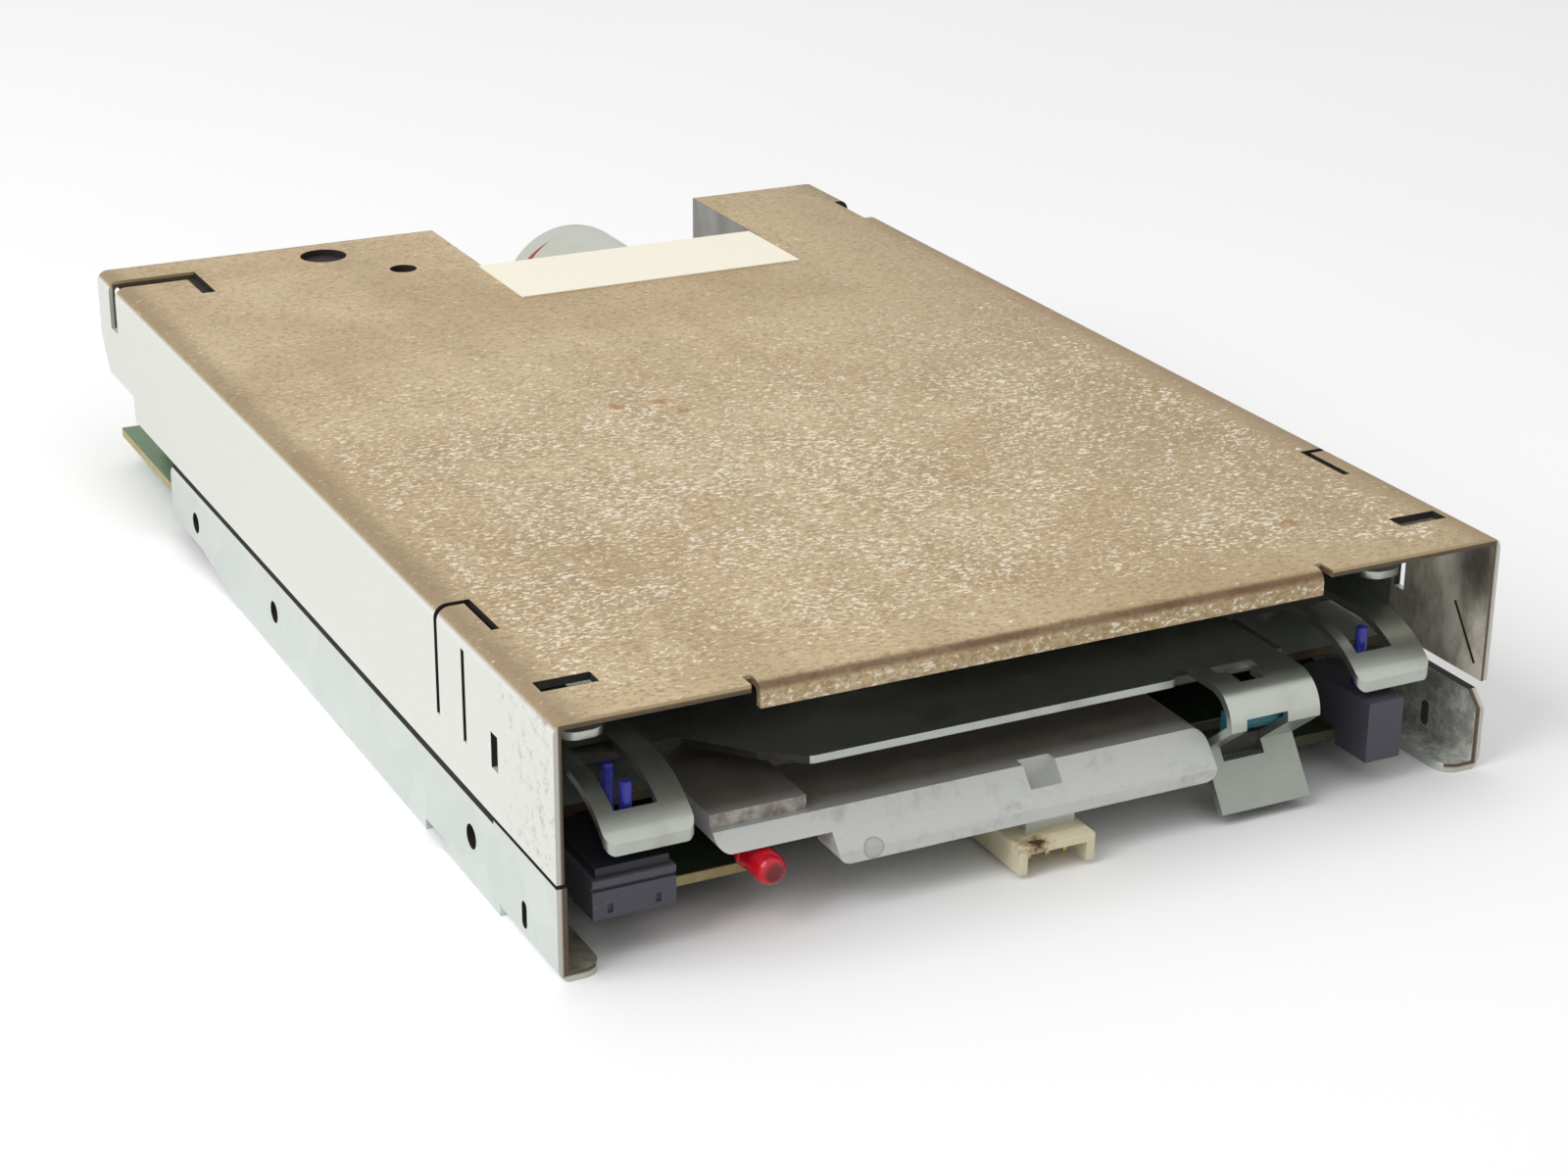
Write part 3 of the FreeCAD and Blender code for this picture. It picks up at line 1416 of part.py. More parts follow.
def board_chips():
    main = box("main_chip_side - main_chip_size / 2", "main_chip_back - main_chip_size / 2", BOARD_TOP,
               "main_chip_size", "main_chip_size", "chip_height")
    small = box(
        "-small_chip_side - small_chip_width / 2", "small_chip_back - small_chip_length / 2", BOARD_TOP,
        "small_chip_width", "small_chip_length", "chip_height",
    )
    node("board_chips", grouped(main, small))


# Spindle: a flat motor under the deck turns the hub platter through a sleeve bearing.
def spindle():
    sleeve = tube(
        "0", "spindle_back", "bearing_bottom", "bearing_radius", "shaft_radius + running_clearance",
        "bearing_top - bearing_bottom",
    )
    node("spindle_bearing", sleeve)
    magnet_bottom = "(yoke_bottom - magnet_height)"
    node("rotor_magnet", tube(
        "0", "spindle_back", magnet_bottom, "yoke_radius - yoke_sheet", "magnet_bore", "magnet_height",
    ))
    yoke = joined(
        rod("z", "0", "spindle_back", "yoke_bottom", "yoke_radius", "yoke_sheet"),
        rod("z", "0", "spindle_back", magnet_bottom, "yoke_hub_radius", "magnet_height"),
    )
    skirt = tube(
        "0", "spindle_back", magnet_bottom, "yoke_radius", "yoke_radius - yoke_sheet", "magnet_height",
    )
    bore = rod("z", "0", "spindle_back", magnet_bottom, "shaft_radius", "magnet_height + yoke_sheet")
    node("rotor_yoke", carved(joined(yoke, skirt), bore))
    node("spindle_shaft", revolved("0", "spindle_back", [
        ("0", magnet_bottom),
        ("shaft_radius", magnet_bottom),
        ("shaft_radius", "nose_top - nose_chamfer"),
        ("shaft_radius - nose_chamfer", "nose_top"),
        ("0", "nose_top"),
    ]))
    platter_top = "(platter_bottom + platter_thickness)"
    platter = revolved("0", "spindle_back", [
        ("shaft_radius", "platter_bottom"),
        ("platter_radius", "platter_bottom"),
        ("platter_radius", platter_top),
        ("hub_radius", platter_top),
        ("hub_radius", f"{platter_top} + hub_rise"),
        ("shaft_radius", f"{platter_top} + hub_rise"),
    ])
    pin_hole = rod("z", "drive_pin_ring", "spindle_back", "platter_bottom", "drive_pin_radius",
                   "platter_thickness + hub_rise")
    node("hub_platter", carved(platter, pin_hole))
    node("drive_pin", rod("z", "drive_pin_ring", "spindle_back", "platter_bottom", "drive_pin_radius",
                          "drive_pin_top - platter_bottom"))
    coils = []
    for number in range(COILS):
        angle = 2 * math.pi * (number + 0.5) / COILS
        x = f"coil_ring * {math.cos(angle)}"
        y = f"spindle_back + coil_ring * {math.sin(angle)}"
        coils.append(tube(x, y, BOARD_TOP, "coil_radius", "coil_bore", "coil_height"))
    node("stator_coils", grouped(*coils))


# Stepper motor: a can behind an upright bracket; its shaft is the lead screw.
def motor_can():
    """Turn the drawn can, rounded at its closed end."""
    body = document.addObject("PartDesign::Body", "body")
    place(body, "motor_side", "0", "motor_height")
    turned(body, sketch(body, "XY_Plane", "0", [
        ("0", "motor_front"),
        ("motor_radius", "motor_front"),
        ("motor_radius", "cover_length"),
        ("0", "cover_length"),
    ]))
    rear = value("cover_length")
    rim = value("motor_radius") - 0.01

    def closed_end(start, end):
        return math.hypot(start.x, start.z) > rim and abs(start.y - rear) + abs(end.y - rear) < 0.01

    rounded(body, "motor_edge", closed_end)
    return body


def stepper():
    bracket_front = "(motor_front - bracket_sheet)"
    width = "(bracket_left + bracket_right)"
    wall = box(
        "-bracket_left", bracket_front, DECK_TOP, width, "bracket_sheet", f"{BRACKET_TOP} - {DECK_TOP}",
    )
    foot = box(
        "-bracket_left", f"{bracket_front} - bracket_foot", DECK_TOP, width,
        "bracket_foot + bracket_sheet / 2", "bracket_sheet",
    )
    cuts = [
        rod("y", "motor_side", bracket_front, "motor_height", "motor_boss_radius + running_clearance",
            "bracket_sheet"),
        rod("y", "-guide_rod_side", bracket_front, "guide_rod_height", "guide_rod_radius",
            "bracket_sheet"),
    ]
    can = motor_can()
    boss = rod("y", "motor_side", "motor_front - motor_boss_length", "motor_height", "motor_boss_radius",
               "motor_boss_length")
    ears = box(
        "motor_side - motor_ear - motor_screw_head", "motor_front", "motor_height - motor_screw_head",
        "2 * (motor_ear + motor_screw_head)", "bracket_sheet", "2 * motor_screw_head",
    )
    bores = [rod(
        "y", "motor_side", "motor_front - motor_boss_length", "motor_height",
        "lead_radius + running_clearance", "cover_length - motor_front + motor_boss_length - motor_edge",
    )]
    screws = []
    for side in SIDES:
        x = f"motor_side + {side} * motor_ear"
        cuts.append(rod("y", x, bracket_front, "motor_height", "motor_screw_radius", "bracket_sheet"))
        bores.append(rod("y", x, "motor_front", "motor_height", "motor_screw_radius", "bracket_sheet"))
        head = rod("y", x, f"{bracket_front} - motor_screw_height", "motor_height", "motor_screw_head",
                   "motor_screw_height")
        shank = rod("y", x, bracket_front, "motor_height", "motor_screw_radius", "2 * bracket_sheet")
        screws.append(joined(head, shank))
    node("motor_bracket", carved(joined(wall, foot), *cuts))
    node("stepper_motor", carved(joined(can, boss, ears), *bores))
    node("motor_screws", grouped(*screws))
    node("lead_screw", rod("y", "motor_side", "lead_front", "motor_height", "lead_radius",
                           "cover_length - 2 * motor_edge - lead_front"))
    block = box(
        "motor_side - support_width / 2", "support_front", DECK_TOP, "support_width", "support_depth",
        f"support_top - {DECK_TOP}",
    )
    hole = rod(
        "y", "motor_side", "support_front", "motor_height", "lead_radius + running_clearance",
        "support_depth",
    )
    node("lead_screw_support", carved(block, hole))


def guide_rod():
    node("guide_rod", rod(
        "y", "-guide_rod_side", "guide_rod_front", "guide_rod_height", "guide_rod_radius",
        "motor_front - guide_rod_front",
    ))
    post = box(
        "-guide_rod_side - rod_post_width / 2", "rod_post_front", DECK_TOP, "rod_post_width",
        "rod_post_depth", f"rod_post_top - {DECK_TOP}",
    )
    hole = rod(
        "y", "-guide_rod_side", "guide_rod_front", "guide_rod_height", "guide_rod_radius",
        "rod_post_depth",
    )
    node("guide_rod_post", carved(post, hole))


# Head carriage: rides on the guide rod, is driven by the lead screw and holds the lower head.
def head_carriage():
    depth = "(carriage_rear - carriage_front)"
    block = box(
        "-carriage_left", "carriage_front", "carriage_bottom", "carriage_left + carriage_half", depth,
        "carriage_top - carriage_bottom",
    )
    nut = box(
        "carriage_half", "nut_front", "nut_bottom", "nut_right - carriage_half", "nut_rear - nut_front",
        "nut_top - nut_bottom",
    )
    arm = plate("lower_arm_bottom", "lower_arm_top - lower_arm_bottom", [
        ("-lower_arm_half", "carriage_front + pivot_radius"),
        ("lower_arm_half", "carriage_front + pivot_radius"),
        ("lower_arm_tip_half", "lower_arm_front"),
        ("-lower_arm_tip_half", "lower_arm_front"),
    ])
    vane_top = "(wall_height + sensor_height + head_gap + vane_thickness)"
    vane = box(
        "-vane_side - vane_thickness / 2", "vane_front", f"{vane_top} - vane_thickness - vane_drop",
        "vane_thickness", "vane_length", "vane_drop + vane_thickness",
    )
    bridge = box("-vane_side - vane_thickness / 2", "vane_front", f"{vane_top} - vane_thickness",
                 "vane_side + vane_thickness - carriage_left", "vane_length", "vane_thickness")
    pieces = [block, nut, arm, vane, bridge]
    cuts = [
        rod("y", "-guide_rod_side", "carriage_front", "guide_rod_height",
            "guide_rod_radius + running_clearance", depth),
        rod("y", "motor_side", "nut_front", "motor_height", "lead_radius + running_clearance",
            "nut_rear - nut_front"),
    ]
    thickness = "(ear_half - carriage_half)"
    for side in SIDES:
        x = low(side, "carriage_half", thickness)
        pieces.append(rod("x", x, "pivot_back", "pivot_height", "ear_radius", thickness))
        pieces.append(box(
            x, "pivot_back - ear_radius", "carriage_bottom + ear_radius", thickness, "2 * ear_radius",
            "pivot_height - carriage_bottom - ear_radius",
        ))
        cuts.append(rod("x", x, "pivot_back", "pivot_height", "pivot_radius", thickness))
    node("head_carriage", carved(joined(*pieces), *cuts))
    node("arm_pivot_pin", rod(
        "x", "-ear_half", "pivot_back", "pivot_height", "pivot_radius", "2 * ear_half",
    ))
    node("lower_head", box(
        "-head_size / 2", "head_back - head_size / 2", "lower_arm_top", "head_size", "head_size",
        "lower_head_top - lower_arm_top",
    ))


def upper_arm():
    blade = plate("upper_arm_bottom", "upper_arm_sheet", [
        ("-upper_arm_half", "pivot_back"),
        ("upper_arm_half", "pivot_back"),
        ("upper_arm_tip_half", "upper_arm_front"),
        ("-upper_arm_tip_half", "upper_arm_front"),
    ])
    width = "2 * (carriage_half - head_gap)"
    hub = rod(
        "x", "head_gap - carriage_half", "pivot_back", "pivot_height", "ear_radius - head_gap", width,
    )
    bore = rod(
        "x", "head_gap - carriage_half", "pivot_back", "pivot_height",
        "pivot_radius + running_clearance", width,
    )
    node("upper_arm", carved(joined(blade, hub), bore))
    bottom = "(lower_head_top + head_gap)"
    node("upper_head", box(
        "-head_size / 2", "head_back - head_size / 2", bottom, "head_size", "head_size",
        f"upper_arm_bottom - {bottom}",
    ))


def track_sensor():
    block = box("-sensor_left", "sensor_front", DECK_TOP, "sensor_width", "sensor_depth", "sensor_height")
    slot = box(
        "-vane_side - sensor_slot / 2", "sensor_front",
        f"{DECK_TOP} + sensor_height - sensor_slot_depth", "sensor_slot", "sensor_depth",
        "sensor_slot_depth",
    )
    node("track_sensor", carved(block, slot))


def build():
    top_cover()
    paper_tape()
    base_frame()
    front_casting()
    casting_screws()
    control_board()
    board_chips()
    interface_header()
    power_header()
    front_header()
    left_switch()
    right_switch()
    plungers()
    indicator_lamp()
    spindle()
    stepper()
    guide_rod()
    head_carriage()
    upper_arm()
    track_sensor()
    slide_plate()
    button_clip()
    slide_spring(-1, "left_slide_spring")
    slide_spring(1, "right_slide_spring")
    disk_holder()
    holder_pins()
    lever_stud()
    shutter_lever()
    document.recompute()


def export():
    """Check every object and every sub-part, then write one file for each sub-part."""
    for item in document.Objects:
        if "Invalid" in item.State or "Error" in item.State:
            raise RuntimeError(f"{item.Label} failed: {item.State}")
    for piece in nodes:
        if piece.Shape.isNull() or not piece.Shape.isValid():
            raise RuntimeError(f"{piece.Label} has no valid shape")
    os.makedirs("parts", exist_ok=True)
    for piece in nodes:
        piece.Shape.exportStep(os.path.join("parts", f"{piece.Label}.step"))
        print(piece.Label, len(piece.Shape.Solids), round(piece.Shape.Volume, 2))


build()
export()
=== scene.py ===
from math import cos, radians, sin

import bmesh
import bpy
from mathutils import Matrix, Vector


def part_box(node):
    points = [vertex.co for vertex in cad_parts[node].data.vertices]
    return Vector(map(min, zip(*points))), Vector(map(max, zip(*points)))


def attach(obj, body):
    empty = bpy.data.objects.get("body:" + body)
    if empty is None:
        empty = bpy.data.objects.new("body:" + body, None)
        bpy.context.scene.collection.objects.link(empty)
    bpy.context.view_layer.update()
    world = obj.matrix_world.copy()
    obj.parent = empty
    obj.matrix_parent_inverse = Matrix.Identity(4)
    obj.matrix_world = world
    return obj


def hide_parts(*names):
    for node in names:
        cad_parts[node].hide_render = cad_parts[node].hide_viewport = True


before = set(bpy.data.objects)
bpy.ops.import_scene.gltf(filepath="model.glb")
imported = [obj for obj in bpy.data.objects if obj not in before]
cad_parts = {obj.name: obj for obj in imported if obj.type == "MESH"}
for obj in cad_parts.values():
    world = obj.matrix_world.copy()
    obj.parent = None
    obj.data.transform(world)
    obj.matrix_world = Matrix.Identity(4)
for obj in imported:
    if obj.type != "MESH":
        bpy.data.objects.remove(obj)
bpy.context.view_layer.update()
bpy.context.scene.view_settings.view_transform = "Standard"


# Base frame: the tray that carries every other piece, with a wall down each side.
# Galvanised sheet steel, pierced flat and folded in a press. The outside is pale and clean,
# the inside of the walls is dull with dust, made paler by painted light and browner on the left
# by painted shade, the slots and the gap under the cover are black with painted shade, the
# deck's front edge is browned as painted shade, and the sheared edges have gone brown.

EDGE_ROUNDING = 0.12  # in millimetres, as every rounding; other lengths are in metres
WELD = 0.000002
FLAT_ANGLE = radians(0.5)
SMOOTH_ANGLE = radians(28)
CORNER_ANGLE = radians(35)
FRONT = -0.0745
WALL_FRONT = FRONT + 0.001
DECK_FRONT = FRONT + 0.02
WALL_SIDE = 0.047
WALL_SHEET = 0.0497
FOOT_TOP = 0.0016


def mm(length):
    """A length in millimetres as metres."""
    return length / 1000


def per_mm(size):
    """The texture scale at which a pattern repeats about every so many millimetres."""
    return 1000 / size


def linear(colour):
    """An sRGB hex colour as linear red, green, blue and alpha."""
    parts = [int(colour[start:start + 2], 16) / 255 for start in (1, 3, 5)]
    return [c / 12.92 if c <= 0.04045 else ((c + 0.055) / 1.055) ** 2.4 for c in parts] + [1]


def add(tree, kind, inputs, **settings):
    """Add a shader node. Each input takes a value, an output, or a node for its first output."""
    made = tree.nodes.new("ShaderNode" + kind)
    for setting, choice in settings.items():
        setattr(made, setting, choice)
    for socket, source in inputs.items():
        if isinstance(source, bpy.types.Node):
            source = next(output for output in source.outputs if output.enabled)
        if isinstance(source, bpy.types.NodeSocket):
            tree.links.new(source, made.inputs[socket])
        else:
            made.inputs[socket].default_value = source
    return made


def finish(name, surface):
    """A material whose shader is the node that surface(tree, place) returns."""
    made = bpy.data.materials.new(name)
    made.use_nodes = True
    tree = made.node_tree
    tree.nodes.clear()
    place = add(tree, "TexCoord", {}).outputs["Object"]
    shader = surface(tree, place)
    add(tree, "OutputMaterial", {"Surface": shader.outputs["BSDF"]})
    return made


def carried(work, name, body, material):
    """Turn a finished bmesh into a piece that rides on a body, round forms smooth and folds crisp."""
    mesh = bpy.data.meshes.new(name)
    work.to_mesh(mesh)
    work.free()
    mesh.materials.append(material)
    mesh.shade_smooth()
    mesh.set_sharp_from_angle(angle=SMOOTH_ANGLE)
    piece = bpy.data.objects.new(name, mesh)
    bpy.context.collection.objects.link(piece)
    piece.modifiers.new("flat faces stay flat", "WEIGHTED_NORMAL").keep_sharp = True
    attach(piece, body)
    return piece


def edged(node, body, material, rounding=EDGE_ROUNDING):
    """A CAD node made whole again, with its sharp edges rounded so that they catch the light."""
    work = bmesh.new()
    work.from_mesh(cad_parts[node].data)
    bmesh.ops.remove_doubles(work, verts=work.verts, dist=WELD)
    bmesh.ops.dissolve_limit(
        work, angle_limit=FLAT_ANGLE, verts=work.verts, edges=work.edges, delimit={"NORMAL"}
    )
    sharp = [e for e in work.edges if e.is_manifold and e.calc_face_angle(0) > CORNER_ANGLE]
    bmesh.ops.bevel(
        work, geom=sharp, offset=mm(rounding), offset_type="OFFSET", segments=2, profile=0.5,
        affect="EDGES", material=-1, clamp_overlap=True,
    )
    piece = carried(work, node + "_edged", body, material)
    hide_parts(node)
    return piece


def painted(piece, material, chosen):
    """Give another material to the faces that chosen(middle, way) picks, where way is the normal."""
    piece.data.materials.append(material)
    for face in piece.data.polygons:
        if chosen(face.center, face.normal):
            face.material_index = len(piece.data.materials) - 1


def galvanised_sheet(tree, place):
    """Hot-dip zinc: pale grey-green and half matte, with cloudy crystals and a few grey rubs."""
    spangle = add(tree, "TexVoronoi", {"Vector": place, "Scale": per_mm(5)})
    rubs = add(tree, "TexNoise", {"Vector": place, "Scale": per_mm(5), "Detail": 8.0, "Roughness": 0.7})
    rubbed = add(tree, "MapRange", {"Value": rubs, "From Min": 0.64, "From Max": 0.8},
                 interpolation_type="SMOOTHSTEP")
    zinc = add(tree, "Mix", {0: spangle.outputs["Color"], 6: linear("#d2d8d4"), 7: linear("#dbe0dc")},
               data_type="RGBA")
    colour = add(tree, "Mix", {0: rubbed, 6: zinc, 7: linear("#a4a8a2")}, data_type="RGBA")
    gloss = add(tree, "MapRange", {"Value": rubs, "To Min": 0.35, "To Max": 0.55})
    return add(tree, "BsdfPrincipled", {"Base Color": colour, "Metallic": 0.6, "Roughness": gloss})


def dusty_zinc(tree, place):
    """The zinc inside the walls: mottled with dust and finger marks, painted paler than the outer zinc as
    painted light, and browner on the left as painted shade.
    """
    dust = add(tree, "TexNoise", {"Vector": place, "Scale": per_mm(2.2), "Detail": 8.0, "Roughness": 0.8})
    dusted = add(tree, "MapRange", {"Value": dust, "From Min": 0.38, "From Max": 0.66},
                 interpolation_type="SMOOTHSTEP")
    # painted light: both tones are paler than the outer zinc, standing for light the inside lacks
    colour = add(tree, "Mix", {0: dusted, 6: linear("#a9aba3"), 7: linear("#eef1ea")}, data_type="RGBA")
    axes = add(tree, "SeparateXYZ", {"Vector": place}).outputs
    # painted shade: browner towards the left, where the left wall's inside lies in shadow
    left = add(tree, "MapRange", {"Value": axes["X"], "From Min": 0.0, "From Max": -WALL_SIDE,
                                  "To Max": 0.6})
    browned = add(tree, "Mix", {0: left, 6: colour, 7: linear("#6b6249")}, data_type="RGBA")
    gloss = add(tree, "MapRange", {"Value": dust, "To Min": 0.3, "To Max": 0.6})
    return add(tree, "BsdfPrincipled", {"Base Color": browned, "Metallic": 0.3, "Roughness": gloss})


def sheared_edge(tree, place):
    """Bare steel where the sheet was sheared: brown and dull, with plating drawn over its outer half."""
    axes = add(tree, "SeparateXYZ", {"Vector": place}).outputs
    across = add(tree, "Math", {0: axes["X"]}, operation="ABSOLUTE")
    outward = add(tree, "MapRange", {"Value": across, "From Min": mm(50.2), "From Max": mm(50.45)},
                  interpolation_type="SMOOTHSTEP")
    lower = add(tree, "MapRange", {"Value": axes["Z"], "From Min": mm(0.7), "From Max": mm(0.5)})
    outer = add(tree, "Math", {0: outward, 1: lower}, operation="MAXIMUM")
    upper = add(tree, "MapRange", {"Value": axes["Z"], "From Min": mm(24.95), "From Max": mm(25.15)},
                interpolation_type="SMOOTHSTEP")
    rust = add(tree, "TexNoise", {"Vector": place, "Scale": per_mm(0.9), "Detail": 5.0, "Roughness": 0.7})
    bare = add(tree, "Mix", {0: rust, 6: linear("#3d342b"), 7: linear("#7d6a55")}, data_type="RGBA")
    zinc = add(tree, "Mix", {0: outer, 6: bare, 7: linear("#d2cfc6")}, data_type="RGBA")
    colour = add(tree, "Mix", {0: upper, 6: zinc, 7: linear("#bfa982")}, data_type="RGBA")
    gloss = add(tree, "MapRange", {"Value": rust, "To Min": 0.5, "To Max": 0.85})
    return add(tree, "BsdfPrincipled", {"Base Color": colour, "Metallic": 0.3, "Roughness": gloss})


def slot_shade_finish(tree, place):
    """Narrow slots and gaps in the sheet: painted black as the shade inside them, dull."""
    slot_mottle = add(tree, "TexNoise", {"Vector": place, "Scale": per_mm(1), "Detail": 4.0})
    colour = add(tree, "Mix", {0: slot_mottle, 6: linear("#131110"), 7: linear("#2e2924")}, data_type="RGBA")
    return add(tree, "BsdfPrincipled", {"Base Color": colour, "Roughness": 0.8, "IOR": 1.45})


galvanised_steel = finish("galvanised sheet steel", galvanised_sheet)
rusted_cut = finish("rusted sheared edge", sheared_edge)
shaded_slot = finish("painted shade in a slot", slot_shade_finish)
base = edged("base_frame", "chassis", galvanised_steel)
painted(base, finish("dusty galvanised steel", dusty_zinc),
        lambda middle, way: abs(middle.x) > WALL_SIDE and (middle.x * way.x < 0 or way.z > 0.5))
# the wall ends are real rust; the deck's front edge, under the casting, takes the brown cut as painted shade
painted(base, rusted_cut, lambda middle, way: way.y < -0.7 and (
    middle.y < WALL_FRONT or middle.y < DECK_FRONT and abs(middle.x) < WALL_SIDE))
# the slots and the gap under the cover's skirt are black with painted shade
painted(base, shaded_slot, lambda middle, way: abs(middle.x) > WALL_SHEET
        and (abs(way.x) < 0.5 or way.z > 0.55)
        and middle.y > WALL_FRONT and middle.z > FOOT_TOP)


# Front casting: the aluminium die casting that ties the two walls together behind the bezel.
# Cast, fettled and left bare, so it is pale grey with a fine skin and soft edges. Its flat top
# and a rear step are darkened as painted shade of the slide, over a little oily dust, and flux
# has browned the ledge at its left end.

CAST_ROUNDING = 0.3
CASTING_FLAT = 0.009
LEDGE_INNER = -0.024
REAR_STEP = FRONT + 0.008
TOP_EDGE = FRONT + 0.0032
BEAD_HEIGHT = 0.0067
EJECTOR_MARK = (-0.0192, FRONT + 0.0002, 0.0064)


def cast_skin(tree, place):
    """Die-cast aluminium: light grey and matte, finely grained, with a parting bead and an ejector mark."""
    # the grain is drawn coarser than it is, to show in the render
    grain = add(tree, "TexNoise", {"Vector": place, "Scale": per_mm(0.4), "Detail": 4.0})
    marks = add(tree, "TexNoise", {"Vector": place, "Scale": per_mm(4), "Detail": 6.0, "Roughness": 0.7})
    marked = add(tree, "MapRange", {"Value": marks, "From Min": 0.5, "From Max": 0.75},
                 interpolation_type="SMOOTHSTEP")
    skin = add(tree, "Mix", {0: marked, 6: linear("#d6d8d5"), 7: linear("#bcbdb9")}, data_type="RGBA")
    axes = add(tree, "SeparateXYZ", {"Vector": place}).outputs
    offset = add(tree, "Math", {0: axes["Z"], 1: BEAD_HEIGHT}, operation="SUBTRACT")
    away = add(tree, "Math", {0: offset}, operation="ABSOLUTE")
    rough = add(tree, "TexNoise", {"Vector": place, "Scale": per_mm(1.4), "Detail": 6.0, "Roughness": 0.8})
    ragged = add(tree, "MapRange", {"Value": rough, "From Min": 0.45, "From Max": 0.7,
                                    "To Max": mm(0.35)})
    bead = add(tree, "Math", {0: away, 1: ragged}, operation="LESS_THAN")
    beaded = add(tree, "Mix", {0: bead, 6: skin, 7: linear("#d4d5d2")}, data_type="RGBA")
    centre = add(tree, "VectorMath", {0: place, 1: EJECTOR_MARK}, operation="DISTANCE")
    rim = add(tree, "MapRange", {"Value": centre, "From Min": mm(1.15), "From Max": mm(1)})
    disc = add(tree, "MapRange", {"Value": centre, "From Min": mm(0.95), "From Max": mm(0.8),
                                  "To Min": 0.5, "To Max": 0.22})
    dent = add(tree, "Math", {0: rim, 1: disc}, operation="MULTIPLY")
    colour = add(tree, "Mix", {0: dent, 6: beaded, 7: linear("#777772")}, data_type="RGBA")
    height = add(tree, "Math", {0: grain, 1: bead}, operation="ADD")
    bump = add(tree, "Bump", {"Height": height, "Strength": 0.35, "Distance": mm(0.06)})
    return add(tree, "BsdfPrincipled", {
        "Base Color": colour, "Metallic": 0.4, "Roughness": 0.6, "Normal": bump,
    })


def shaded_casting_top(tree, place):
    """The casting's top, under the slide: painted shade of the slide over a little oily dust, lighter at its
    front edge.
    """
    top_mottle = add(tree, "TexNoise", {"Vector": place, "Scale": per_mm(3), "Detail": 6.0, "Roughness": 0.7})
    dark = add(tree, "Mix", {0: top_mottle, 6: linear("#736d66"), 7: linear("#aaa298")}, data_type="RGBA")
    axes = add(tree, "SeparateXYZ", {"Vector": place}).outputs
    # the front edge is painted lighter, where the slide's painted shade ends
    wiped = add(tree, "MapRange", {"Value": axes["Y"], "From Min": TOP_EDGE + mm(3), "From Max": TOP_EDGE},
                interpolation_type="SMOOTHSTEP")
    colour = add(tree, "Mix", {0: wiped, 6: dark, 7: linear("#c4c5c2")}, data_type="RGBA")
    gloss = add(tree, "MapRange", {"Value": top_mottle, "To Min": 0.35, "To Max": 0.6})
    return add(tree, "BsdfPrincipled", {"Base Color": colour, "Metallic": 0.4, "Roughness": gloss})


def fluxed_casting(tree, place):
    """The ledge: grey metal under brown, blotchy flux."""
    flux = add(tree, "TexNoise", {"Vector": place, "Scale": per_mm(1.6), "Detail": 6.0, "Roughness": 0.7})
    fluxed = add(tree, "MapRange", {"Value": flux, "From Min": 0.36, "From Max": 0.64},
                 interpolation_type="SMOOTHSTEP")
    colour = add(tree, "Mix", {0: fluxed, 6: linear("#bab8b1"), 7: linear("#877e72")}, data_type="RGBA")
    return add(tree, "BsdfPrincipled", {"Base Color": colour, "Metallic": 0.3, "Roughness": 0.6})


def turned_steel(tree, place):
    """Ground and plated steel: bright, with the finest haze of grinding lines."""
    # the haze is drawn coarser than the lines, to show in the render
    haze = add(tree, "TexNoise", {"Vector": place, "Scale": per_mm(0.6), "Detail": 3.0})
    gloss = add(tree, "MapRange", {"Value": haze, "To Min": 0.16, "To Max": 0.32})
    return add(tree, "BsdfPrincipled", {
        "Base Color": linear("#d6d7d6"), "Metallic": 1.0, "Roughness": gloss,
    })


cast_aluminium = finish("die-cast aluminium", cast_skin)
ground_steel = finish("ground steel", turned_steel)
casting = edged("front_casting", "chassis", cast_aluminium, CAST_ROUNDING)
# the flat top and the rear step take the painted shade of the slide
painted(casting, finish("casting top in painted shade", shaded_casting_top), lambda middle, way: (
    way.z > 0.9 and middle.z > CASTING_FLAT or way.y < -0.6 and middle.y > REAR_STEP))
painted(casting, finish("flux stained casting", fluxed_casting),
        lambda middle, way: way.y < -0.9 and middle.z > CASTING_FLAT and middle.x < LEDGE_INNER)
edged("casting_screws", "chassis", ground_steel)


# Spindle motor: a flat pancake motor under the deck, with a ring of copper coils on the board
# side and a magnet rotor that carries the platter and drive pin. Turned, ground and pressed.

COIL_ROUNDING = 0.3


def sintered_bronze(tree, place):
    """Pressed bronze powder: warm, porous and half matte."""
    # the pores are drawn coarser than they are, to show in the render
    pores = add(tree, "TexNoise", {"Vector": place, "Scale": per_mm(0.3), "Detail": 2.0})
    bump = add(tree, "Bump", {"Height": pores, "Strength": 0.3, "Distance": mm(0.02)})
    return add(tree, "BsdfPrincipled", {
        "Base Color": linear("#b58a52"), "Metallic": 1.0, "Roughness": 0.45, "Normal": bump,
    })


def enamelled_wire(tree, place):
    """Wound copper under clear enamel: red-brown and glossy, ribbed by the turns of wire."""
    # a wave texture repeats about 3.2 times in each 0.8 mm, which makes a wire of 0.25 mm
    turns = add(tree, "TexWave", {"Vector": place, "Scale": per_mm(0.8), "Distortion": 0.5},
                bands_direction="Z")
    bump = add(tree, "Bump", {"Height": turns.outputs["Fac"], "Strength": 0.5, "Distance": mm(0.06)})
    return add(tree, "BsdfPrincipled", {
        "Base Color": linear("#a9602f"), "Metallic": 0.8, "Roughness": 0.3, "Normal": bump,
    })


def bonded_ferrite(tree, place):
    """Magnet rubber: near black and dull, with a fine grain."""
    grain = add(tree, "TexNoise", {"Vector": place, "Scale": per_mm(0.4), "Detail": 3.0})
    bump = add(tree, "Bump", {"Height": grain, "Strength": 0.2, "Distance": mm(0.02)})
    return add(tree, "BsdfPrincipled", {
        "Base Color": linear("#2b2a2b"), "Roughness": 0.7, "Normal": bump,
    })


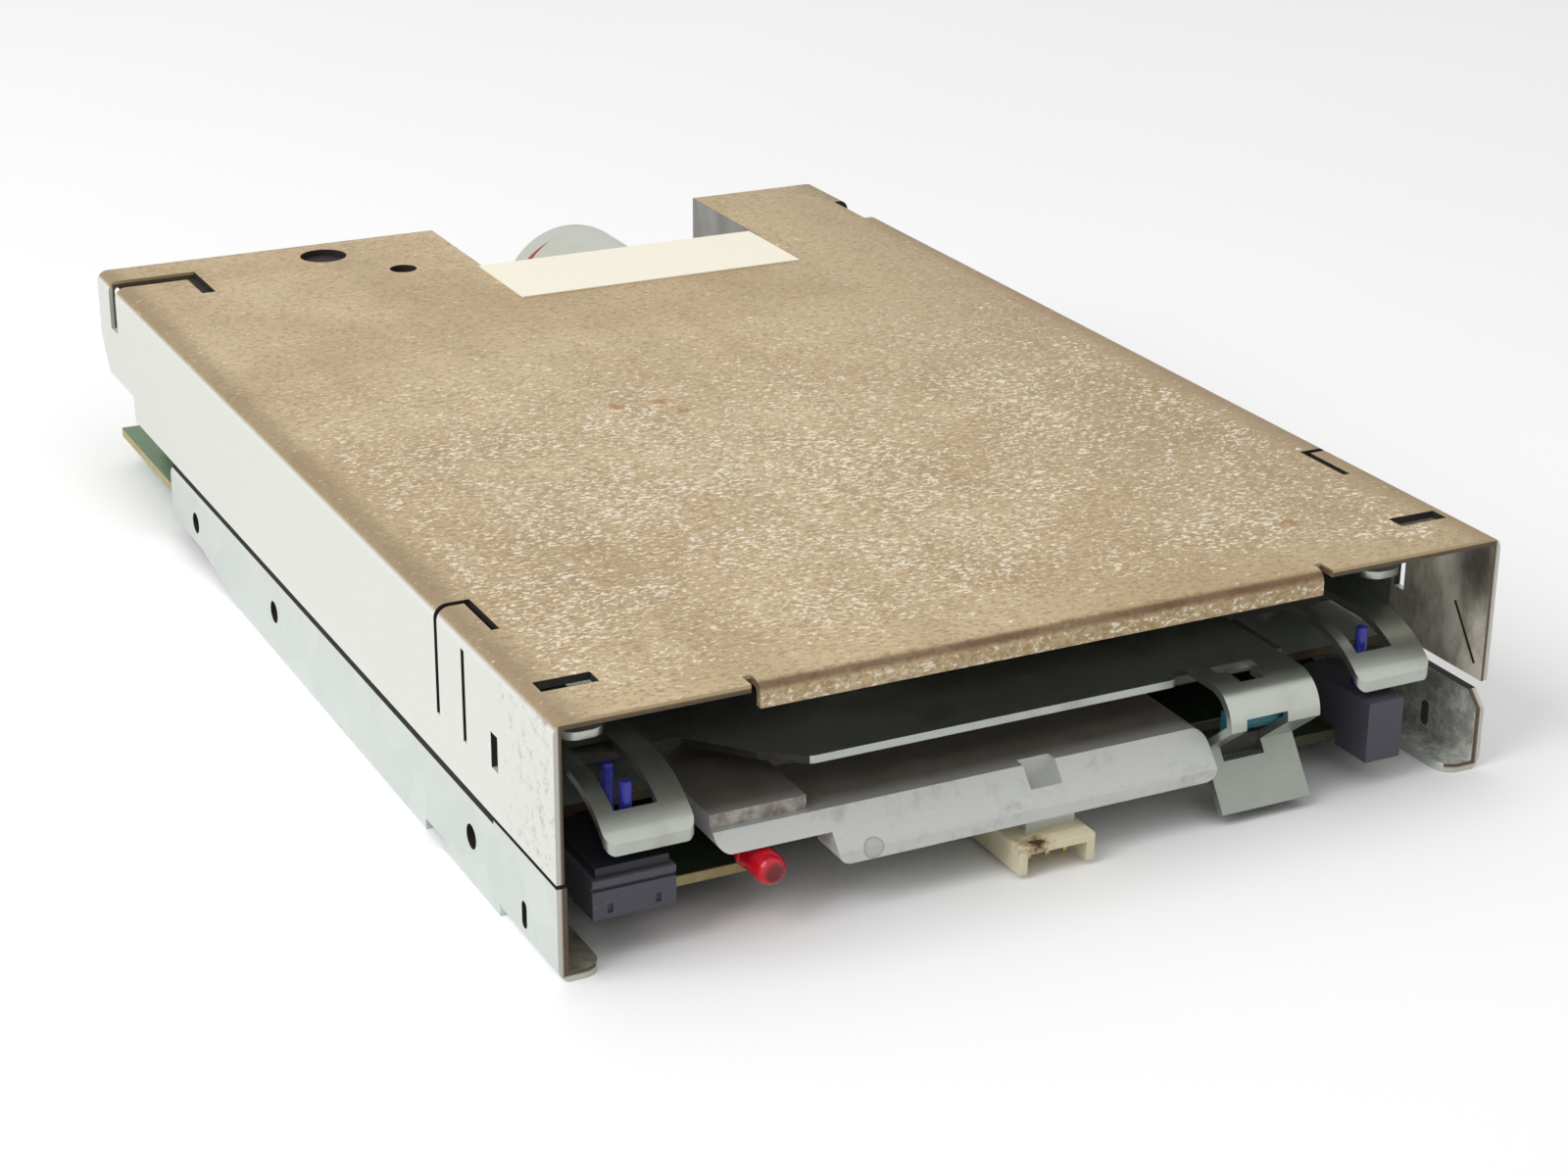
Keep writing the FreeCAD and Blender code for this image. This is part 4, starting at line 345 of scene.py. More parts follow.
def drawn_can(tree, place):
    """Zinc plate over deep-drawn steel: soft grey, satin, with a few stains."""
    stains = add(tree, "TexNoise", {"Vector": place, "Scale": per_mm(7), "Detail": 6.0, "Roughness": 0.65})
    stained = add(tree, "MapRange", {"Value": stains, "From Min": 0.52, "From Max": 0.75},
                  interpolation_type="SMOOTHSTEP")
    colour = add(tree, "Mix", {0: stained, 6: linear("#c3c4ba"), 7: linear("#a9aaa0")}, data_type="RGBA")
    return add(tree, "BsdfPrincipled", {"Base Color": colour, "Metallic": 0.7, "Roughness": 0.42})


bronze = finish("sintered bronze", sintered_bronze)
copper_wire = finish("enamelled copper wire", enamelled_wire)
plated_can = finish("zinc plated drawn steel", drawn_can)
edged("spindle_bearing", "chassis", bronze)
edged("stator_coils", "chassis", copper_wire, COIL_ROUNDING)
edged("rotor_magnet", "spindle", finish("bonded ferrite", bonded_ferrite))
edged("rotor_yoke", "spindle", plated_can)
for node in ("spindle_shaft", "hub_platter", "drive_pin"):
    edged(node, "spindle", ground_steel)


# Stepper motor: a drawn steel can, zinc plated, screwed to a pressed bracket at the rear.
# Its shaft runs on as the lead screw, which moves the heads from track to track. An assembler's
# dab of red lacquer is left on the can.

CAN_ROUNDING = 0.5
DAB_BACK = 0.0715
DAB_WIDE = 0.004
DAB_NARROW = 0.0092
DAB_REACH = 0.0009


def dabbed_can(tree, place):
    """The same zinc plate with one stroke of red lacquer that thins out up the can."""
    shader = drawn_can(tree, place)
    axes = add(tree, "SeparateXYZ", {"Vector": place}).outputs
    above = add(tree, "MapRange", {"Value": axes["Z"], "From Min": mm(17), "From Max": mm(19)})
    reach = add(tree, "MapRange", {
        "Value": axes["X"], "From Min": DAB_WIDE, "From Max": DAB_NARROW, "To Min": DAB_REACH, "To Max": 0.0,
    })
    aside = add(tree, "Math", {0: axes["Y"], 1: DAB_BACK}, operation="SUBTRACT")
    away = add(tree, "Math", {0: aside}, operation="ABSOLUTE")
    inside = add(tree, "Math", {0: away, 1: reach}, operation="LESS_THAN")
    dab = add(tree, "Math", {0: inside, 1: above}, operation="MULTIPLY")
    plate = shader.inputs["Base Color"].links[0].from_socket
    colour = add(tree, "Mix", {0: dab, 6: plate, 7: linear("#9c3b34")}, data_type="RGBA")
    tree.links.new(colour.outputs[2], shader.inputs["Base Color"])
    return shader


def moulded_black(tree, place):
    """Black moulded plastic: fine spark-eroded grain and a soft sheen."""
    # the grain is drawn coarser than it is, to show in the render
    grain = add(tree, "TexNoise", {"Vector": place, "Scale": per_mm(0.25), "Detail": 2.0})
    bump = add(tree, "Bump", {"Height": grain, "Strength": 0.15, "Distance": mm(0.015)})
    return add(tree, "BsdfPrincipled", {
        "Base Color": linear("#232329"), "Roughness": 0.45, "IOR": 1.5, "Normal": bump,
    })


black_plastic = finish("black moulding", moulded_black)
edged("motor_bracket", "chassis", galvanised_steel)
edged("stepper_motor", "chassis", finish("dabbed motor can", dabbed_can), CAN_ROUNDING)
edged("motor_screws", "chassis", ground_steel)
edged("lead_screw", "screw", ground_steel)
edged("lead_screw_support", "chassis", black_plastic)


# Head carriage: a glass-filled moulding that runs on a ground rod and holds the lower head.
# The upper head hangs from a plated arm on a pivot pin, and a fork sensor sees track zero.

CARRIAGE_ROUNDING = 0.2


def glass_filled(tree, place):
    """Glass-filled plastic: dark grey and matte, with pale fibre specks."""
    fibre = add(tree, "TexNoise", {"Vector": place, "Scale": per_mm(0.5), "Detail": 4.0, "Distortion": 2.0})
    mask = add(tree, "MapRange", {"Value": fibre, "From Min": 0.62, "From Max": 0.75})
    colour = add(tree, "Mix", {0: mask, 6: linear("#34353a"), 7: linear("#5a5b60")}, data_type="RGBA")
    return add(tree, "BsdfPrincipled", {"Base Color": colour, "Roughness": 0.55, "IOR": 1.55})


def polished_ceramic(tree, place):
    """Lapped ferrite-ceramic: pale, dense and glossy."""
    grain = add(tree, "TexNoise", {"Vector": place, "Scale": per_mm(0.8), "Detail": 2.0})
    gloss = add(tree, "MapRange", {"Value": grain, "To Min": 0.12, "To Max": 0.25})
    return add(tree, "BsdfPrincipled", {"Base Color": linear("#d9d4c6"), "Roughness": gloss, "IOR": 1.65})


def plated_sheet(tree, place):
    """Nickel on sheet steel: pale green-grey and satin, with a fine grain and faint brown wear."""
    wear = add(tree, "TexNoise", {"Vector": place, "Scale": per_mm(6), "Detail": 3.0})
    worn = add(tree, "MapRange", {"Value": wear, "From Min": 0.5, "From Max": 0.75},
               interpolation_type="SMOOTHSTEP")
    colour = add(tree, "Mix", {0: worn, 6: linear("#bfc5bc"), 7: linear("#b1b2a8")}, data_type="RGBA")
    gloss = add(tree, "MapRange", {"Value": wear, "To Min": 0.26, "To Max": 0.38})
    return add(tree, "BsdfPrincipled", {"Base Color": colour, "Metallic": 0.9, "Roughness": gloss})


glassy_plastic = finish("glass-filled moulding", glass_filled)
ceramic = finish("lapped ceramic", polished_ceramic)
nickel_sheet = finish("nickel plated sheet steel", plated_sheet)
edged("guide_rod", "chassis", ground_steel)
edged("guide_rod_post", "chassis", cast_aluminium)
edged("track_sensor", "chassis", black_plastic)
edged("head_carriage", "carriage", glassy_plastic, CARRIAGE_ROUNDING)
edged("arm_pivot_pin", "carriage", ground_steel)
edged("lower_head", "carriage", ceramic)
edged("upper_arm", "arm", nickel_sheet)
edged("upper_head", "arm", ceramic)


# Control board: a glass-laminate board under the deck, on bronze spacers, with its chips on top.
# Solder mask is green over copper, darkened at the open front as painted shade under the casting; the sawn
# edge is tan.

FRONT_SHADE_END = -0.025
FRONT_SHADE_START = -0.05
EDGE_SHADE_START = -0.0285


def laminate(tree, place):
    """Green solder mask: glossy, faintly mottled by the weave under it, darkened towards the front as painted
    shade.
    """
    # the weave is drawn coarser than it is, to show in the render
    weave = add(tree, "TexNoise", {"Vector": place, "Scale": per_mm(1.2), "Detail": 2.0})
    mask = add(tree, "Mix", {0: weave, 6: linear("#3d6a3c"), 7: linear("#567f4d")}, data_type="RGBA")
    axes = add(tree, "SeparateXYZ", {"Vector": place}).outputs
    front_shade = add(tree, "MapRange", {"Value": axes["Y"], "From Min": FRONT_SHADE_END, "From Max": FRONT_SHADE_START,
                                   "To Max": 0.85}, interpolation_type="SMOOTHSTEP")
    colour = add(tree, "Mix", {0: front_shade, 6: mask, 7: linear("#2b281f")}, data_type="RGBA")
    return add(tree, "BsdfPrincipled", {"Base Color": colour, "Roughness": 0.35, "IOR": 1.52})


def sawn_laminate(tree, place):
    """The board's edge: tan glass fibre in resin, rough from the saw, darkened inside the front as painted
    shade.
    """
    fibre = add(tree, "TexNoise", {"Vector": place, "Scale": per_mm(0.7), "Detail": 4.0})
    tan = add(tree, "Mix", {0: fibre, 6: linear("#9a8c58"), 7: linear("#c9bd88")}, data_type="RGBA")
    axes = add(tree, "SeparateXYZ", {"Vector": place}).outputs
    ahead = add(tree, "MapRange", {"Value": axes["Y"], "From Min": FRONT_SHADE_END, "From Max": FRONT_SHADE_START})
    inward = add(tree, "MapRange", {"Value": axes["X"], "From Min": EDGE_SHADE_START,
                                    "From Max": EDGE_SHADE_START + mm(3), "To Max": 0.9})
    front_shade = add(tree, "Math", {0: ahead, 1: inward}, operation="MULTIPLY")
    colour = add(tree, "Mix", {0: front_shade, 6: tan, 7: linear("#2b281f")}, data_type="RGBA")
    return add(tree, "BsdfPrincipled", {"Base Color": colour, "Roughness": 0.7, "IOR": 1.5})


board = edged("control_board", "chassis", finish("green solder mask", laminate))
painted(board, finish("sawn board edge", sawn_laminate), lambda middle, way: abs(way.z) < 0.3)
edged("board_spacers", "chassis", bronze)
edged("board_screws", "chassis", ground_steel)
edged("board_chips", "chassis", black_plastic)


# Connectors: the pin headers at the rear and the small cream header under the front casting.
# Moulded housings with square pins pushed through; old flux has burnt a stain on the front one.

STAIN_IN = 0.0021
STAIN_BACK = 0.0007
STAIN_REACH = 0.0022
STAIN_RAGGED = 0.0011
PIN_ROUNDING = 0.06


def gold_flash(tree, place):
    """Square wire with a thin flash of gold: warm and bright."""
    haze = add(tree, "TexNoise", {"Vector": place, "Scale": per_mm(1), "Detail": 2.0})
    gloss = add(tree, "MapRange", {"Value": haze, "To Min": 0.2, "To Max": 0.35})
    return add(tree, "BsdfPrincipled", {
        "Base Color": linear("#d8bd78"), "Metallic": 1.0, "Roughness": gloss,
    })


def aged_nylon(tree, place):
    """Natural nylon: cream and waxy, a little yellow in places."""
    age = add(tree, "TexNoise", {"Vector": place, "Scale": per_mm(3), "Detail": 6.0, "Roughness": 0.7})
    aged = add(tree, "MapRange", {"Value": age, "From Min": 0.5, "From Max": 0.75},
               interpolation_type="SMOOTHSTEP")
    colour = add(tree, "Mix", {0: aged, 6: linear("#efe6c6"), 7: linear("#dccd9e")}, data_type="RGBA")
    return add(tree, "BsdfPrincipled", {"Base Color": colour, "Roughness": 0.5, "IOR": 1.53})


def stained_nylon(tree, place):
    """The same nylon with a brown-black flux burn that breaks up at its rim."""
    shader = aged_nylon(tree, place)
    low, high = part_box("front_header_shell")
    middle = (low[0] + STAIN_IN, low[1] + STAIN_BACK, high[2])
    away = add(tree, "VectorMath", {0: place, 1: middle}, operation="DISTANCE")
    crust = add(tree, "TexNoise", {"Vector": place, "Scale": per_mm(1.3), "Detail": 6.0, "Roughness": 0.7})
    ragged = add(tree, "MapRange", {"Value": crust, "From Min": 0.3, "From Max": 0.7,
                                    "To Min": -STAIN_RAGGED, "To Max": STAIN_RAGGED})
    rim = add(tree, "Math", {0: away, 1: ragged}, operation="ADD")
    burnt = add(tree, "MapRange", {"Value": rim, "From Min": STAIN_REACH, "From Max": mm(0.6),
                                   "To Max": 0.85}, interpolation_type="SMOOTHSTEP")
    core = add(tree, "MapRange", {"Value": rim, "From Min": mm(0.9), "From Max": mm(0.4)},
               interpolation_type="SMOOTHSTEP")
    cream = shader.inputs["Base Color"].links[0].from_socket
    brown = add(tree, "Mix", {0: burnt, 6: cream, 7: linear("#93702f")}, data_type="RGBA")
    colour = add(tree, "Mix", {0: core, 6: brown, 7: linear("#41290f")}, data_type="RGBA")
    tree.links.new(colour.outputs[2], shader.inputs["Base Color"])
    return shader


gold = finish("gold flashed pin", gold_flash)
edged("interface_header", "chassis", black_plastic)
edged("interface_pins", "chassis", gold, PIN_ROUNDING)
edged("power_header", "chassis", finish("aged nylon", aged_nylon))
edged("power_pins", "chassis", gold, PIN_ROUNDING)
edged("front_header_shell", "chassis", finish("flux stained nylon", stained_nylon))
edged("front_header_pins", "chassis", gold, PIN_ROUNDING)


# Disk switches: two small moulded blocks at the front, with blue plungers that feel the disk.
# Dark thermoplastic, a little dusty; the plungers are bright dyed acetal.

PLUNGER_ROUNDING = 0.25


def dusty_block(tree, place):
    """Violet-grey moulding: matte, with pale dust specks and scuffs."""
    dust = add(tree, "TexNoise", {"Vector": place, "Scale": per_mm(0.6), "Detail": 5.0, "Roughness": 0.75})
    mask = add(tree, "MapRange", {"Value": dust, "From Min": 0.65, "From Max": 0.74},
               interpolation_type="SMOOTHSTEP")
    colour = add(tree, "Mix", {0: mask, 6: linear("#4d4b55"), 7: linear("#a9a9ae")}, data_type="RGBA")
    return add(tree, "BsdfPrincipled", {"Base Color": colour, "Roughness": 0.5, "IOR": 1.5})


def dyed_acetal(tree, place):
    """Blue acetal: saturated, slippery and glossy."""
    cloud = add(tree, "TexNoise", {"Vector": place, "Scale": per_mm(1.5), "Detail": 2.0})
    colour = add(tree, "Mix", {0: cloud, 6: linear("#3034a8"), 7: linear("#4850cc")}, data_type="RGBA")
    return add(tree, "BsdfPrincipled", {"Base Color": colour, "Roughness": 0.22, "IOR": 1.48})


switch_plastic = finish("dusty switch moulding", dusty_block)
blue_acetal = finish("blue acetal", dyed_acetal)
edged("left_switch_block", "chassis", switch_plastic)
edged("left_switch_cap", "chassis", black_plastic)
edged("right_switch_block", "chassis", switch_plastic)
for body in ("write_protect", "density", "disk_in"):
    edged(body + "_plunger", body, blue_acetal, PLUNGER_ROUNDING)


# Indicator lamp: a round red light-emitting diode that lies on its side under the casting.
# Dyed clear epoxy, cast with a domed lens, on two tinned leads.


def dyed_epoxy(tree, place):
    """Clear red epoxy: glassy, with the dark cup of the chip behind the middle of its lens."""
    low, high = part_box("indicator_lamp")
    tip = ((low[0] + high[0]) / 2, low[1], (low[2] + high[2]) / 2)
    away = add(tree, "VectorMath", {0: place, 1: tip}, operation="DISTANCE")
    cup = add(tree, "MapRange", {"Value": away, "From Min": mm(1.3), "From Max": mm(0.7)},
              interpolation_type="SMOOTHSTEP")
    cloud = add(tree, "TexNoise", {"Vector": place, "Scale": per_mm(2), "Detail": 2.0})
    red = add(tree, "Mix", {0: cloud, 6: linear("#cf1127"), 7: linear("#e01a33")}, data_type="RGBA")
    colour = add(tree, "Mix", {0: cup, 6: red, 7: linear("#7a0716")}, data_type="RGBA")
    return add(tree, "BsdfPrincipled", {"Base Color": colour, "Roughness": 0.09, "IOR": 1.5})


edged("indicator_lamp", "chassis", finish("red lamp epoxy", dyed_epoxy))
edged("lamp_leads", "chassis", ground_steel, PIN_ROUNDING)


# Slide plate: the cam plate between holder and casting, which the eject tongue pushes in.
# Plated sheet steel, blanked and formed, with a pair of wire springs drawing it forward. A teal
# clip that held the eject button is left in the fold of the tongue.

TONGUE_TAIL = 0.0068
STRIP_LEFT = -0.0232
STRIP_RIGHT = 0.0172
NOTCH_FRONT = FRONT + 0.007
POCKET_FRONT = FRONT + 0.0036
POCKET_LOW = 0.005
POCKET_HIGH = 0.0078
WIRE_ROUNDING = 0.05


def teal_moulding(tree, place):
    """Teal moulded plastic: smooth and saturated, a little worn to a paler tone."""
    wear = add(tree, "TexNoise", {"Vector": place, "Scale": per_mm(2), "Detail": 3.0})
    colour = add(tree, "Mix", {0: wear, 6: linear("#175462"), 7: linear("#2b8290")}, data_type="RGBA")
    return add(tree, "BsdfPrincipled", {"Base Color": colour, "Roughness": 0.35, "IOR": 1.48})


def dulled_nickel(tree, place):
    """Nickel rubbed by the eject button: grey, even and half matte."""
    rubs = add(tree, "TexNoise", {"Vector": place, "Scale": per_mm(2), "Detail": 5.0, "Roughness": 0.6})
    colour = add(tree, "Mix", {0: rubs, 6: linear("#989f96"), 7: linear("#a7ada4")}, data_type="RGBA")
    return add(tree, "BsdfPrincipled", {"Base Color": colour, "Metallic": 0.7, "Roughness": 0.45})


def shaded_nickel_edge(tree, place):
    """Front edges behind the bezel line: painted black as the shade they lie in."""
    grease = add(tree, "TexNoise", {"Vector": place, "Scale": per_mm(1.5), "Detail": 4.0})
    colour = add(tree, "Mix", {0: grease, 6: linear("#1f1e1b"), 7: linear("#45433d")}, data_type="RGBA")
    return add(tree, "BsdfPrincipled", {"Base Color": colour, "Metallic": 0.4, "Roughness": 0.45})


shade_painted_edge = finish("nickel edge in painted shade", shaded_nickel_edge)
slide = edged("slide_plate", "slide", nickel_sheet)
painted(slide, finish("dulled nickel", dulled_nickel), lambda middle, way: middle.z < TONGUE_TAIL)
# edges in shade at the slide's ends and in its pocket are painted black as painted shade
painted(slide, shade_painted_edge, lambda middle, way: way.y < -0.3 and (
    middle.x < STRIP_LEFT or middle.x > STRIP_RIGHT and middle.y > NOTCH_FRONT
    or middle.y > POCKET_FRONT and POCKET_LOW < middle.z < POCKET_HIGH))
edged("button_clip", "slide", finish("teal moulding", teal_moulding))
for node in ("left_slide_spring", "right_slide_spring"):
    edged(node, "chassis", ground_steel, WIRE_ROUNDING)


# Disk holder: the tray that takes the disk and drops it on the spindle, with curled guides
# at its mouth. Plated sheet like the slide; pins in its flanges ride in the slide's cams.

GUIDE_TIP = FRONT + 0.0022
MOUTH = FRONT + 0.006
HOLDER_HEAD = 0.0188


def moulded_lever(tree, place):
    """White acetal lever: smooth, waxy and slightly glossy."""
    grain = add(tree, "TexNoise", {"Vector": place, "Scale": per_mm(0.5), "Detail": 2.0})
    gloss = add(tree, "MapRange", {"Value": grain, "To Min": 0.3, "To Max": 0.42})
    return add(tree, "BsdfPrincipled", {"Base Color": linear("#dcdbd4"), "Roughness": gloss, "IOR": 1.48})


holder = edged("disk_holder", "holder", nickel_sheet)
# faces deep in the holder's mouth are painted black as painted shade
painted(holder, shade_painted_edge,
        lambda middle, way: middle.y > MOUTH and way.y < -0.6 and middle.z < HOLDER_HEAD)
painted(holder, rusted_cut, lambda middle, way: middle.y < GUIDE_TIP and way.z < -0.2)
edged("holder_pins", "holder", ground_steel)
edged("lever_stud", "holder", ground_steel)
edged("shutter_lever", "lever", finish("white acetal", moulded_lever))


# Top cover: a shallow lid of chromated sheet steel that clips over both walls. The top has
# bloomed to tan, full of fine pale crystals where it was handled most, with painted shade in
# their troughs; its sides are still white zinc, its inside is dull and stained, with painted
# light down its inner sides, its slots are black with painted shade, and its sheared edges are brown.

COVER_TOP = 0.0254
COVER_INSIDE = 0.0246
UNDERSIDE = COVER_INSIDE - 0.0005
COVER_FRONT = FRONT + 0.001
LIP_HALF = 0.04
FOLD_HALF = 0.0312
SKIRT_INNER = 0.0502
SIDE_INSIDE = 0.0485
DARK_PATCH = (0.0501, FRONT + 0.0015, 0.0215)
SCRATCH_START = Vector((0.0501, FRONT + 0.0051, 0.0168))
SCRATCH_END = Vector((0.0501, FRONT + 0.0013, 0.0113))
RUST_DOTS = ((-0.0125, -0.0007), (-0.0077, -0.0011), (-0.0065, -0.005), (0.0339, -0.0622))


def bloomed_cover(tree, place):
    """Old chromate over zinc: a matte tan bloom, brown at the folds, with pale crystals that sparkle."""
    axes = add(tree, "SeparateXYZ", {"Vector": place}).outputs
    across = add(tree, "Math", {0: axes["X"]}, operation="ABSOLUTE")
    # the bloom is browner in clouds, along the folds, in streaks from wiping and to the right
    bloom = add(tree, "TexNoise", {"Vector": place, "Scale": per_mm(26), "Detail": 5.0, "Roughness": 0.6})
    browned = add(tree, "MapRange", {"Value": bloom, "From Min": 0.36, "From Max": 0.66},
                  interpolation_type="SMOOTHSTEP")
    tan = add(tree, "Mix", {0: browned, 6: linear("#d0bb97"), 7: linear("#bea681")}, data_type="RGBA")
    fold = add(tree, "MapRange", {"Value": across, "From Min": mm(46.5), "From Max": mm(50.3), "To Max": 0.6},
               interpolation_type="SMOOTHSTEP")
    wiping = add(tree, "Mapping", {"Vector": place, "Scale": (1.0, 0.05, 1.0)})
    streaks = add(tree, "TexNoise", {"Vector": wiping, "Scale": per_mm(7), "Detail": 4.0})
    streaked = add(tree, "MapRange", {"Value": streaks, "From Min": 0.45, "From Max": 0.7,
                                      "To Max": 0.22})
    wiped = add(tree, "Mix", {0: streaked, 6: tan, 7: linear("#94825f")}, data_type="RGBA")
    right = add(tree, "MapRange", {"Value": axes["X"], "From Min": mm(12), "From Max": mm(46),
                                   "To Max": 0.32}, interpolation_type="SMOOTHSTEP")
    toned = add(tree, "Mix", {0: right, 6: wiped, 7: linear("#9c8765")}, data_type="RGBA")
    edge = add(tree, "Mix", {0: fold, 6: toned, 7: linear("#7f6a50")}, data_type="RGBA")
    # the crystals gather in patches, and leave the front margin and the rear third almost bare
    margin = add(tree, "MapRange", {"Value": across, "From Min": mm(28), "From Max": mm(42),
                                    "To Min": FRONT + mm(12), "To Max": FRONT + mm(5)})
    front = add(tree, "MapRange", {"Value": axes["Y"], "From Min": COVER_FRONT,
                                   "From Max": margin}, interpolation_type="SMOOTHSTEP")
    plain = add(tree, "MapRange", {"Value": across, "From Min": mm(48.5), "From Max": mm(45)},
                interpolation_type="SMOOTHSTEP")
    rear = add(tree, "MapRange", {"Value": axes["Y"], "From Min": mm(40), "From Max": mm(-10)},
               interpolation_type="SMOOTHSTEP")
    patches = add(tree, "TexNoise", {"Vector": place, "Scale": per_mm(16), "Detail": 3.0})
    patchy = add(tree, "MapRange", {"Value": patches, "From Min": 0.36, "From Max": 0.6, "To Min": 0.6})
    middle = add(tree, "Math", {0: front, 1: rear}, operation="MULTIPLY")
    within = add(tree, "Math", {0: middle, 1: plain}, operation="MULTIPLY")
    spread = add(tree, "Math", {0: within, 1: patchy}, operation="MULTIPLY")
    hanging = add(tree, "MapRange", {"Value": axes["Z"], "From Min": COVER_TOP - mm(0.8),
                                     "From Max": COVER_TOP - mm(1.1), "To Max": 0.75})
    gathered = add(tree, "Math", {0: spread, 1: hanging}, operation="MAXIMUM")
    drawn = add(tree, "Mapping", {"Vector": place, "Scale": (0.65, 1.0, 1.0)})
    crystals = add(tree, "TexNoise", {
        "Vector": drawn, "Scale": per_mm(0.44), "Detail": 1.5, "Distortion": 0.8,
    })
    bare = add(tree, "MapRange", {"Value": gathered, "To Min": 0.68, "To Max": 0.53})
    above = add(tree, "Math", {0: crystals, 1: bare}, operation="SUBTRACT")
    flecked = add(tree, "MapRange", {"Value": above, "From Max": 0.1, "To Max": 0.8},
                  interpolation_type="SMOOTHSTEP")
    # the troughs of the crystal pattern are darkened as painted shade
    trough_shade = add(tree, "MapRange", {"Value": crystals, "From Min": 0.5, "From Max": 0.36, "To Max": 0.55})
    shade = add(tree, "Mix", {0: trough_shade, 6: edge, 7: linear("#94794f")}, data_type="RGBA")
    top = add(tree, "Mix", {0: flecked, 6: shade, 7: linear("#f2e8d6")}, data_type="RGBA")
    for x, y in RUST_DOTS:
        away = add(tree, "VectorMath", {0: place, 1: (x, y, COVER_TOP)}, operation="DISTANCE")
        spot = add(tree, "MapRange", {"Value": away, "From Min": mm(1.3), "From Max": mm(0.3),
                                      "To Max": 0.75}, interpolation_type="SMOOTHSTEP")
        top = add(tree, "Mix", {0: spot, 6: top, 7: linear("#a2703f")}, data_type="RGBA")
    # a brown line runs along the fold of the front lip
    below = add(tree, "MapRange", {"Value": axes["Z"], "From Min": COVER_TOP - mm(0.02),
                                   "From Max": COVER_TOP - mm(0.3)}, interpolation_type="SMOOTHSTEP")
    still = add(tree, "MapRange", {"Value": axes["Z"], "From Min": COVER_TOP - mm(1.15),
                                   "From Max": COVER_TOP - mm(0.5)}, interpolation_type="SMOOTHSTEP")
    uneven = add(tree, "MapRange", {"Value": patches, "From Min": 0.3, "From Max": 0.65,
                                    "To Min": 0.95, "To Max": 0.6})
    line = add(tree, "Math", {0: below, 1: still}, operation="MULTIPLY")
    crease = add(tree, "Math", {0: line, 1: uneven}, operation="MULTIPLY")
    creased = add(tree, "Mix", {0: crease, 6: top, 7: linear("#5c3826")}, data_type="RGBA")
    # the sides are white zinc, with dark specks that gather towards the front
    grime = add(tree, "TexNoise", {"Vector": place, "Scale": per_mm(1.5), "Detail": 8.0, "Roughness": 0.8})
    near = add(tree, "MapRange", {"Value": axes["Y"], "From Min": FRONT + mm(30), "From Max": FRONT + mm(6),
                                  "To Min": 0.7, "To Max": 0.51}, interpolation_type="SMOOTHSTEP")
    excess = add(tree, "Math", {0: grime, 1: near}, operation="SUBTRACT")
    grimed = add(tree, "MapRange", {"Value": excess, "From Max": 0.2, "To Max": 0.7},
                 interpolation_type="SMOOTHSTEP")
    side = add(tree, "Mix", {0: grimed, 6: linear("#e3e3dd"), 7: linear("#77717a")}, data_type="RGBA")
    high = add(tree, "MapRange", {"Value": axes["Z"], "From Min": COVER_TOP - mm(0.9),
                                  "From Max": COVER_TOP - mm(0.35)}, interpolation_type="SMOOTHSTEP")
    inner = add(tree, "Math", {0: across, 1: LIP_HALF}, operation="LESS_THAN")
    on_top = add(tree, "Math", {0: high, 1: inner}, operation="MAXIMUM")
    tanned = add(tree, "Mix", {0: inner, 6: top, 7: creased}, data_type="RGBA")
    colour = add(tree, "Mix", {0: on_top, 6: side, 7: tanned}, data_type="RGBA")
    bump = add(tree, "Bump", {"Height": crystals, "Strength": 0.3, "Distance": mm(0.06)})
    gloss = add(tree, "MapRange", {"Value": flecked, "To Min": 0.55, "To Max": 0.3})
    return add(tree, "BsdfPrincipled", {
        "Base Color": colour, "Metallic": 0.4, "Roughness": gloss, "Normal": bump,
    })


